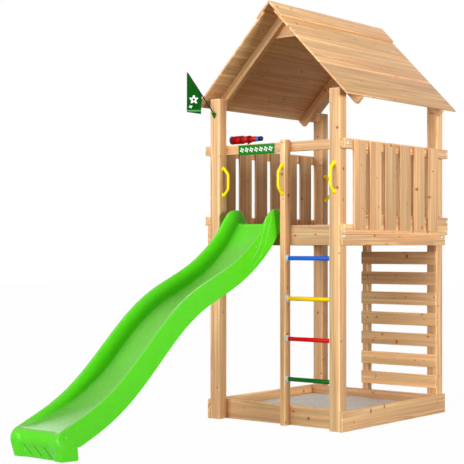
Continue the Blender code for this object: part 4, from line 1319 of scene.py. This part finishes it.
def build_sand():
    """Raked play sand with low mounds, kept under the boards' top."""
    low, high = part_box("sand_bed")
    mesh_data = bmesh.new()
    bmesh.ops.create_grid(mesh_data, x_segments=SAND_CELLS, y_segments=SAND_CELLS, size=0.5)
    for vert in mesh_data.verts:
        vert.co.x = low.x + (vert.co.x + 0.5) * (high.x - low.x)
        vert.co.y = low.y + (vert.co.y + 0.5) * (high.y - low.y)
        vert.co.z = sand_height(vert.co.x, vert.co.y, high.z)
    top_rim = [edge for edge in mesh_data.edges if edge.is_boundary]
    made = bmesh.ops.extrude_edge_only(mesh_data, edges=top_rim)
    for item in made["geom"]:
        if isinstance(item, bmesh.types.BMVert):
            item.co.z = low.z
    bottom = [edge for edge in mesh_data.edges if edge.is_boundary]
    bmesh.ops.contextual_create(mesh_data, geom=bottom)
    make_piece("sand_surface", mesh_data, sand_finish(), "sand", ("sand_bed",), smooth_angle=SAND_SMOOTH)


# Toy telescope: each part's finish and ripple, then stations as shares of its length and largest radius
TELESCOPE = {
    "glass_front": ("glass", 0.0, ((0.030, 0.10), (0.032, 0.40), (0.038, 0.66), (0.046, 0.76))),
    "rim": (
        "blue",
        0.0,
        (
            (0.050, 0.74),
            (0.006, 0.80),
            (0.0, 0.88),
            (0.004, 0.97),
            (0.014, 1.0),
            (0.032, 1.0),
            (0.040, 0.965),
        ),
    ),
    "barrel": ("red", 0.0, ((0.038, 0.90), (0.044, 0.965), (0.322, 0.965), (0.330, 0.93))),
    "grip_ring": ("dark_red", 0.015, ((0.326, 0.93), (0.334, 0.985), (0.376, 0.985), (0.384, 0.86))),
    "middle_tube": ("red", 0.0, ((0.380, 0.79), (0.388, 0.83), (0.558, 0.82), (0.566, 0.79))),
    "collar": ("dark_red", 0.012, ((0.562, 0.80), (0.570, 0.87), (0.618, 0.87), (0.634, 0.70))),
    "inner_tube": ("red", 0.0, ((0.625, 0.60), (0.640, 0.68), (0.830, 0.60), (0.836, 0.56))),
    "eye_ring": ("blue", 0.0, ((0.832, 0.52), (0.838, 0.585), (0.905, 0.585), (0.912, 0.52))),
    "eyepiece": (
        "black",
        0.0,
        ((0.908, 0.50), (0.916, 0.56), (0.980, 0.56), (0.996, 0.50), (1.0, 0.42), (0.985, 0.34)),
    ),
    "glass_rear": ("glass", 0.0, ((0.984, 0.345), (0.988, 0.20), (0.990, 0.05))),
}
LUG_REACH = 0.007
LUG_HALF = 0.005
LUG_TOP = 0.7
LUG_ROUND = 0.0015
TELESCOPE_SIDES = 96


def build_telescope():
    for node in ("telescope_bracket", "telescope_fork"):
        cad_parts[node].material_slots[0].material = moulded(node + "_coat", COAT_GRAIN, COAT_RELIEF)
    low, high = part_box("telescope_tube")
    radius = (high.y - low.y) / 2
    start = Vector((low.x, (low.y + high.y) / 2, high.z - radius))
    colours = ("red", "dark_red", "blue", "black", "glass")
    finishes = {colour: moulded("telescope_" + colour) for colour in colours}
    like = {"slot": "telescope_plastic", "stands_for": ("telescope_tube",), "body": TUBE}
    for name, (colour, ripple, shares) in TELESCOPE.items():
        stations = sized(shares, high.x - low.x, radius)
        part = turned(stations, start, (1, 0, 0), TELESCOPE_SIDES, ripple)
        make_piece("telescope_" + name, part, finishes[colour], **like)
    hinge = middle_of(*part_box("telescope_fork"))
    lug_low = (hinge.x - LUG_REACH, hinge.y - LUG_HALF, low.z)
    lug_high = (hinge.x + LUG_REACH, hinge.y + LUG_HALF, start.z - LUG_TOP * radius)
    make_piece("telescope_lug", rounded_box(lug_low, lug_high, LUG_ROUND), finishes["red"], **like)


# Flag on a leaning pole
CUP_X = -HALF_W + 0.0453
CUP_LOW = POST_HEIGHT - 0.147
CUP_HIGH = 0.041
CUP_RADIUS = 0.019
CUP_TIP = 0.003
CUP_STAND_OFF = 0.8
CUP_WALL = -HALF_D - GAP
CUP_LEVELS = (0.0, 0.05, 0.12, 0.35, 0.62, 0.88, 0.90, 0.97, 1.0)
CUP_LIP = 0.89
CUP_UNDER_LIP = 0.94
CUP_CURVE = 0.8
CUP_SIDES = 48
POLE_RADIUS = 0.0045
POLE_SIDES = 20
POLE_LEAN = Vector((-0.1618, -0.1095, 0.3035))
POLE_FOOT = Vector((CUP_X, CUP_WALL - CUP_RADIUS * CUP_STAND_OFF, CUP_LOW + CUP_HIGH + GAP))
POLE_TIP = POLE_FOOT + POLE_LEAN
CLOTH_THICK = 0.0012
CLOTH_END = 0.58
CLOTH_LOW = CUP_LOW + 0.031
CLOTH_RISE = 0.017
CLOTH_CELLS = 28
CLOTH_WAVE = 0.006
CLOTH_FOLDS = 1.5
CLOTH_DRIFT = 0.1


def build_flag_pole():
    along = POLE_LEAN.normalized()
    short = 0.5 * CUP_RADIUS
    path = (
        (POLE_FOOT - Vector((0, 0, short)), POLE_RADIUS),
        (POLE_FOOT, POLE_RADIUS),
        (POLE_FOOT + along * short, POLE_RADIUS),
        (POLE_FOOT.lerp(POLE_TIP, 0.5), POLE_RADIUS * 0.95),
        (POLE_TIP - along * POLE_RADIUS, POLE_RADIUS * 0.9),
        (POLE_TIP - along * POLE_RADIUS * 0.3, POLE_RADIUS * 0.75),
        (POLE_TIP, POLE_RADIUS * 0.4),
    )
    staff = swept(path, POLE_SIDES)
    make_piece("flag_staff", staff, moulded("pole_black"), "pole_plastic", ("flag_pole",))
    rings = []
    for share in CUP_LEVELS:
        radius = CUP_TIP + (CUP_RADIUS - CUP_TIP) * share**CUP_CURVE
        radius *= 1.0 if share > CUP_LIP else CUP_UNDER_LIP
        middle = CUP_WALL - radius * CUP_STAND_OFF
        ring = []
        for angle in round_angles(CUP_SIDES):
            y_place = min(middle + radius * math.sin(angle), CUP_WALL)
            ring.append(Vector((CUP_X + radius * math.cos(angle), y_place, CUP_LOW + CUP_HIGH * share)))
        rings.append(ring)
    make_piece("flag_cup", ring_skin(rings), moulded("cup_green"), "pole_plastic", ("flag_pole",))


def cloth_point(share, drop, face):
    """A point of the cloth, each column of which hangs straight down from its own point of the pole."""
    top = POLE_TIP.lerp(POLE_FOOT, CLOTH_END * share)
    low = CLOTH_LOW + CLOTH_RISE * (1 - share)
    wave = CLOTH_WAVE * drop * (1 - math.cos(math.tau * (share * CLOTH_FOLDS + CLOTH_DRIFT * drop)))
    y_place = top.y - POLE_RADIUS - 2 * GAP - wave - CLOTH_THICK * face
    return Vector((top.x, y_place, top.z + (low - top.z) * drop))


def build_flag_cloth():
    mesh_data = bmesh.new()
    print_map = mesh_data.loops.layers.uv.new("cloth_print")
    stops = [step / CLOTH_CELLS for step in range(CLOTH_CELLS + 1)]
    spots = {}
    rims = []
    for face in (0, 1):
        columns = []
        for share in stops:
            column = []
            for drop in stops:
                place = cloth_point(share, drop, face)
                vert = mesh_data.verts.new(place)
                across = math.hypot(place.x - POLE_TIP.x, place.y - POLE_TIP.y + POLE_RADIUS)
                spots[vert] = (across, place.z - CLOTH_LOW)
                column.append(vert)
            columns.append(column)
        for first, second in zip(columns, columns[1:]):
            for row in range(CLOTH_CELLS):
                mesh_data.faces.new((first[row], first[row + 1], second[row + 1], second[row]))
        lower = [column[-1] for column in columns]
        upper = [column[0] for column in columns[-2:0:-1]]
        rims.append(columns[0][:-1] + lower + columns[-1][-2::-1] + upper)
    for here in range(len(rims[0])):
        after = (here + 1) % len(rims[0])
        mesh_data.faces.new((rims[0][here], rims[0][after], rims[1][after], rims[1][here]))
    for face in mesh_data.faces:
        for loop in face.loops:
            loop[print_map].uv = spots[loop.vert]
    wide = (cloth_point(1, 0, 0) - cloth_point(0, 0, 0)).xy.length
    cloth = make_piece("flag_sheet", mesh_data, cloth_finish(wide), "flag_fabric", ("flag_cloth",))


# Printed flowers: how deep the petals are cut and how wide the middle is, as shares of the radius
PETAL_CUT = 0.24
PETAL_HOLE = 0.26


def make_print_group():
    """White petals round an open middle, printed once on a flat place."""
    tree = bpy.data.node_groups.new("petal_print", "ShaderNodeTree")
    _, given, result = new_sockets(
        tree,
        (("Across", FLOAT, 0.0), ("Up", FLOAT, 0.0), ("Radius", FLOAT, 0.03), ("Petals", FLOAT, 5.0)),
        (("Mask", FLOAT),),
    )
    across, up = given["Across"], given["Up"]
    square = plus(tree, times(tree, across, across), times(tree, up, up))
    away = calculate(tree, "DIVIDE", calculate(tree, "SQRT", square), given["Radius"])
    angle = times(tree, calculate(tree, "ARCTAN2", up, across), given["Petals"])
    edge = calculate(tree, "MULTIPLY_ADD", calculate(tree, "SINE", angle), PETAL_CUT, 1.0 - PETAL_CUT)
    outer = calculate(tree, "LESS_THAN", away, edge)
    inner = calculate(tree, "GREATER_THAN", away, PETAL_HOLE)
    feed(tree, times(tree, outer, inner), result["Mask"])
    return tree


PRINT_GROUP = make_print_group()
PRINT_WHITE = (0.800, 0.820, 0.780, 1.0)


def printed(tree, across, up, radius, petals):
    values = {"Across": across, "Up": up, "Radius": radius, "Petals": petals}
    return feed_named(tree, add(tree, "ShaderNodeGroup", node_tree=PRINT_GROUP), values)["Mask"]


# The cloth's print, measured from the pole's tip across and from the foot up, and its threads in a metre
CLOTH_GREEN = (0.002, 0.078, 0.004, 1.0)
BAND_GREEN = (0.100, 0.330, 0.100, 1.0)
CLOTH_ROUGHNESS = 0.85
CLOTH_SHINE = 0.08
FLOWER_ACROSS = 0.46
FLOWER_UP = 0.110
FLOWER_RADIUS = 0.034
FLOWER_PETALS = 5.0
BUD_SHIFT = 0.022
BUD_UP = 0.057
BUD_RADIUS = 0.013
BUD_PETALS = 4.0
BAND_UP = 0.026
BAND_HALF = 0.006
WARP = 1450.0
WEFT = 1300.0
WEAVE_SHADE = 0.10
WEAVE_RELIEF = 0.0002
FADED_NOISE = (22.0, 3.0)
FADED_RAMP = (0.3, 0.7, 0.90, 1.10)


def cloth_finish(wide):
    """Woven green cloth with a plain printed flower and a pale band along its foot."""
    material, tree, shader = new_material("flag_weave")
    where = add(tree, "ShaderNodeUVMap", uv_map="cloth_print").outputs["UV"]
    across, up, _ = separated(tree, where)
    middle = minus(tree, across, wide * FLOWER_ACROSS)
    flower = printed(tree, middle, minus(tree, up, FLOWER_UP), FLOWER_RADIUS, FLOWER_PETALS)
    middle = plus(tree, middle, BUD_SHIFT)
    bud = printed(tree, middle, minus(tree, up, BUD_UP), BUD_RADIUS, BUD_PETALS)
    threads = []
    for place, count in ((across, WARP), (up, WEFT)):
        threads.append(calculate(tree, "SINE", times(tree, place, count * math.tau / 2)))
    weave = times(tree, *threads)
    level = calculate(tree, "MULTIPLY_ADD", weave, WEAVE_SHADE, 1.0)
    level = times(tree, level, smooth_step(tree, noise(tree, where, *FADED_NOISE), *FADED_RAMP))
    colour = blend(tree, calculate(tree, "COMPARE", up, BAND_UP, BAND_HALF), CLOTH_GREEN, BAND_GREEN)
    colour = blend(tree, calculate(tree, "MAXIMUM", flower, bud), colour, PRINT_WHITE)
    looks = {"Color": multiplied(tree, colour, level), "Roughness": CLOTH_ROUGHNESS, "Height": weave}
    dress_shader(tree, shader, looks, WEAVE_RELIEF)
    shader.inputs["Specular IOR Level"].default_value = CLOTH_SHINE
    return material


# Sign on the front rail
SIGN_GREEN = (0.001, 0.200, 0.004, 1.0)
SIGN_MARKS = 7
MARK_RADIUS = 0.46
MARK_PETALS = 4.0
SIGN_MARGIN = 0.012
SIGN_ROUND = 0.001
SIGN_GRAIN = 0.0015
SIGN_ROUGHNESS = 0.35
SIGN_MOTTLE = 0.03


def build_sign():
    """A plain green plate with a row of small printed flowers."""
    low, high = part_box("sign_plate")
    middle = middle_of(low, high)
    material, tree, shader = new_material("sign_green")
    place = separated(tree, object_place(tree))
    pitch = (high.x - low.x - 2 * SIGN_MARGIN) / SIGN_MARKS
    across = calculate(tree, "MODULO", minus(tree, place[0], low.x + SIGN_MARGIN), pitch)
    across = minus(tree, across, pitch / 2)
    up = minus(tree, place[2], middle.z)
    marks = printed(tree, across, up, pitch * MARK_RADIUS, MARK_PETALS)
    half_row = (high.x - low.x) / 2 - SIGN_MARGIN
    marks = times(tree, marks, calculate(tree, "COMPARE", place[0], middle.x, half_row))
    colour = blend(tree, marks, SIGN_GREEN, PRINT_WHITE)
    handled(tree, shader, colour, SIGN_ROUGHNESS, SIGN_MOTTLE, SIGN_GRAIN, SMOOTH_RELIEF)
    make_piece("sign_board", rounded_box(low, high, SIGN_ROUND), material, "sign_plastic", ("sign_plate",))


# Bolt caps and nails: profiles as shares of the radius, then how far each is from its timber's edge
CAP_RADIUS = 0.0125
CAP_SIDES = 24
CAP_PROFILE = ((0.0, 1.0), (0.24, 1.0), (0.40, 0.93), (0.60, 0.72), (0.74, 0.42), (0.79, 0.12))
NAIL_RADIUS = 0.0036
NAIL_SIDES = 12
NAIL_PROFILE = ((0.0, 1.0), (0.20, 1.0), (0.34, 0.80), (0.36, 0.30))
CAP_FRONT = 0.034
CAP_END = 0.022
CAP_PAIR = 0.040
CAP_UP_BEAM = 0.063
CAP_DOWN_STRIP = 0.039
NAIL_DOWN_STRIP = 0.050
SLAT_NAILS = (0.035, 0.212, 0.484)
STRIP_NAILS = (-0.356, -0.087, 0.190, 0.475)


def build_fasteners():
    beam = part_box("deck_beam_left")
    beam_face = beam[1].x - beam[0].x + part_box("deck_beam_right")[0].x
    end_reach = HALF_D - CAP_END
    right = (1.0, 0.0, 0.0)
    left = (-1.0, 0.0, 0.0)
    rail_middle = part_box("rail_top_right")[1].z - RAIL_HIGH / 2
    low_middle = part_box("rail_low_right")[1].z - RAIL_HIGH / 2
    beam_low = DECK_UNDER + CAP_UP_BEAM
    places = [
        ((RAIL_OUTER, -HALF_D + CAP_FRONT, rail_middle), right),
        ((beam_face, -end_reach, beam_low), right),
        ((RAIL_OUTER, end_reach, rail_middle), right),
        ((RAIL_OUTER, end_reach, low_middle), right),
        ((RAIL_OUTER, end_reach, DECK_TOP - CAP_DOWN_STRIP), right),
        ((beam_face, end_reach - CAP_PAIR, beam_low), right),
    ]
    for end in ENDS.values():
        for x_place, height in ((RAIL_OUTER, rail_middle), (RAIL_OUTER, low_middle), (beam_face, beam_low)):
            places.append(((-x_place, end * (HALF_D - POST / 2), height), left))
    cap = turned(sized(CAP_PROFILE, CAP_RADIUS, CAP_RADIUS), (0, 0, 0), (0, 0, 1), CAP_SIDES)
    fasteners("bolt_caps", cap, moulded("cap_pale_blue"), places)
    places = [((RAIL_OUTER, y_place, DECK_TOP - NAIL_DOWN_STRIP), right) for y_place in STRIP_NAILS]
    for index in range(SLATS):
        height = SLAT_FIRST + index * SLAT_PITCH + SLAT_HIGH / 2
        for x_place in SLAT_NAILS:
            places.append(((x_place, SLAT_FACE, height), (0.0, -1.0, 0.0)))
    nail = turned(sized(NAIL_PROFILE, NAIL_RADIUS, NAIL_RADIUS), (0, 0, 0), (0, 0, 1), NAIL_SIDES)
    fasteners("nails", nail, moulded("nail_steel"), places)


# Studio and camera, with suns as (way towards the light, strength, width in degrees)
SKY_LEVEL = 0.20
FLOOR_LEVEL = 0.30
FLOOR_ROUGHNESS = 0.9
FLOOR_HALF = 30.0
FLOOR_DROP = 0.001
CAMERA_GLOW = 0.985
WHITE = (1.0, 1.0, 1.0, 1.0)
SUNS = {
    "key_right": ((1.0, -0.08, 0.04), 3.0, 20.0),
    "key_front": ((-0.12, -1.0, 0.30), 3.2, 50.0),
    "fill_rear": ((-0.9, 1.0, 0.30), 1.6, 60.0),
}
CAMERA_PLACE = (5.557, -8.041, 1.279)
CAMERA_TURN = 38.851
SENSOR_WIDTH = 36.0
FOCAL_LENGTH = 98.59
SHIFT_X = -0.0068
SHIFT_Y = 0.0352


def build_stage():
    """A floor that looks white to the camera and gives little light back."""
    floor_data = bmesh.new()
    bmesh.ops.create_grid(floor_data, x_segments=1, y_segments=1, size=FLOOR_HALF)
    mesh = bpy.data.meshes.new("studio_floor")
    floor_data.to_mesh(mesh)
    floor_data.free()
    floor = placed("studio_floor", mesh)
    floor.location.z = -FLOOR_DROP
    material, tree, shader = new_material("floor_white")
    shader.inputs["Base Color"].default_value = (FLOOR_LEVEL, FLOOR_LEVEL, FLOOR_LEVEL, 1.0)
    shader.inputs["Roughness"].default_value = FLOOR_ROUGHNESS
    shader.inputs["Specular IOR Level"].default_value = 0.0
    white = add(tree, "ShaderNodeEmission")
    seen = add(tree, "ShaderNodeLightPath").outputs
    glow = times(tree, seen["Is Camera Ray"], CAMERA_GLOW)
    mix = add(tree, "ShaderNodeMixShader")
    feed(tree, calculate(tree, "MAXIMUM", glow, seen["Is Glossy Ray"]), mix.inputs[0])
    feed(tree, shader.outputs[0], mix.inputs[1])
    feed(tree, white.outputs[0], mix.inputs[2])
    feed(tree, mix.outputs[0], tree.nodes["Material Output"].inputs["Surface"])
    mesh.materials.append(material)


def build_world():
    """A faint white sky, which looks fully white to the camera and in reflections."""
    world = bpy.data.worlds.new("studio")
    bpy.context.scene.world = world
    world.use_nodes = True
    tree = world.node_tree
    seen = add(tree, "ShaderNodeLightPath").outputs
    strength = add(tree, "ShaderNodeMix", data_type="FLOAT")
    feed(tree, calculate(tree, "MAXIMUM", seen["Is Camera Ray"], seen["Is Glossy Ray"]), strength.inputs[0])
    strength.inputs[2].default_value = SKY_LEVEL
    strength.inputs[3].default_value = 1.0
    feed_named(tree, tree.nodes["Background"], {"Color": WHITE, "Strength": strength.outputs[0]})


def build_lights():
    for name, (towards_light, strength, softness) in SUNS.items():
        lamp = bpy.data.lights.new(name, "SUN")
        lamp.energy = strength
        lamp.angle = math.radians(softness)
        placed(name, lamp).rotation_euler = Vector(towards_light).to_track_quat("Z", "Y").to_euler()


def build_camera():
    lens = bpy.data.cameras.new("camera")
    lens.sensor_width = SENSOR_WIDTH
    lens.lens = FOCAL_LENGTH
    lens.shift_x = SHIFT_X
    lens.shift_y = SHIFT_Y
    camera = placed("camera", lens)
    camera.location = CAMERA_PLACE
    camera.rotation_euler = (math.radians(90.0), 0.0, math.radians(CAMERA_TURN))
    bpy.context.scene.camera = camera
    bpy.context.scene.view_settings.view_transform = "Standard"


build_camera()
build_world()
build_lights()
build_stage()
build_frame()
build_palisades()
build_deck()
build_climbing_wall()
build_roof()
build_slide()
build_rungs()
build_handles()
build_sand()
build_telescope()
build_flag_pole()
build_flag_cloth()
build_sign()
build_fasteners()
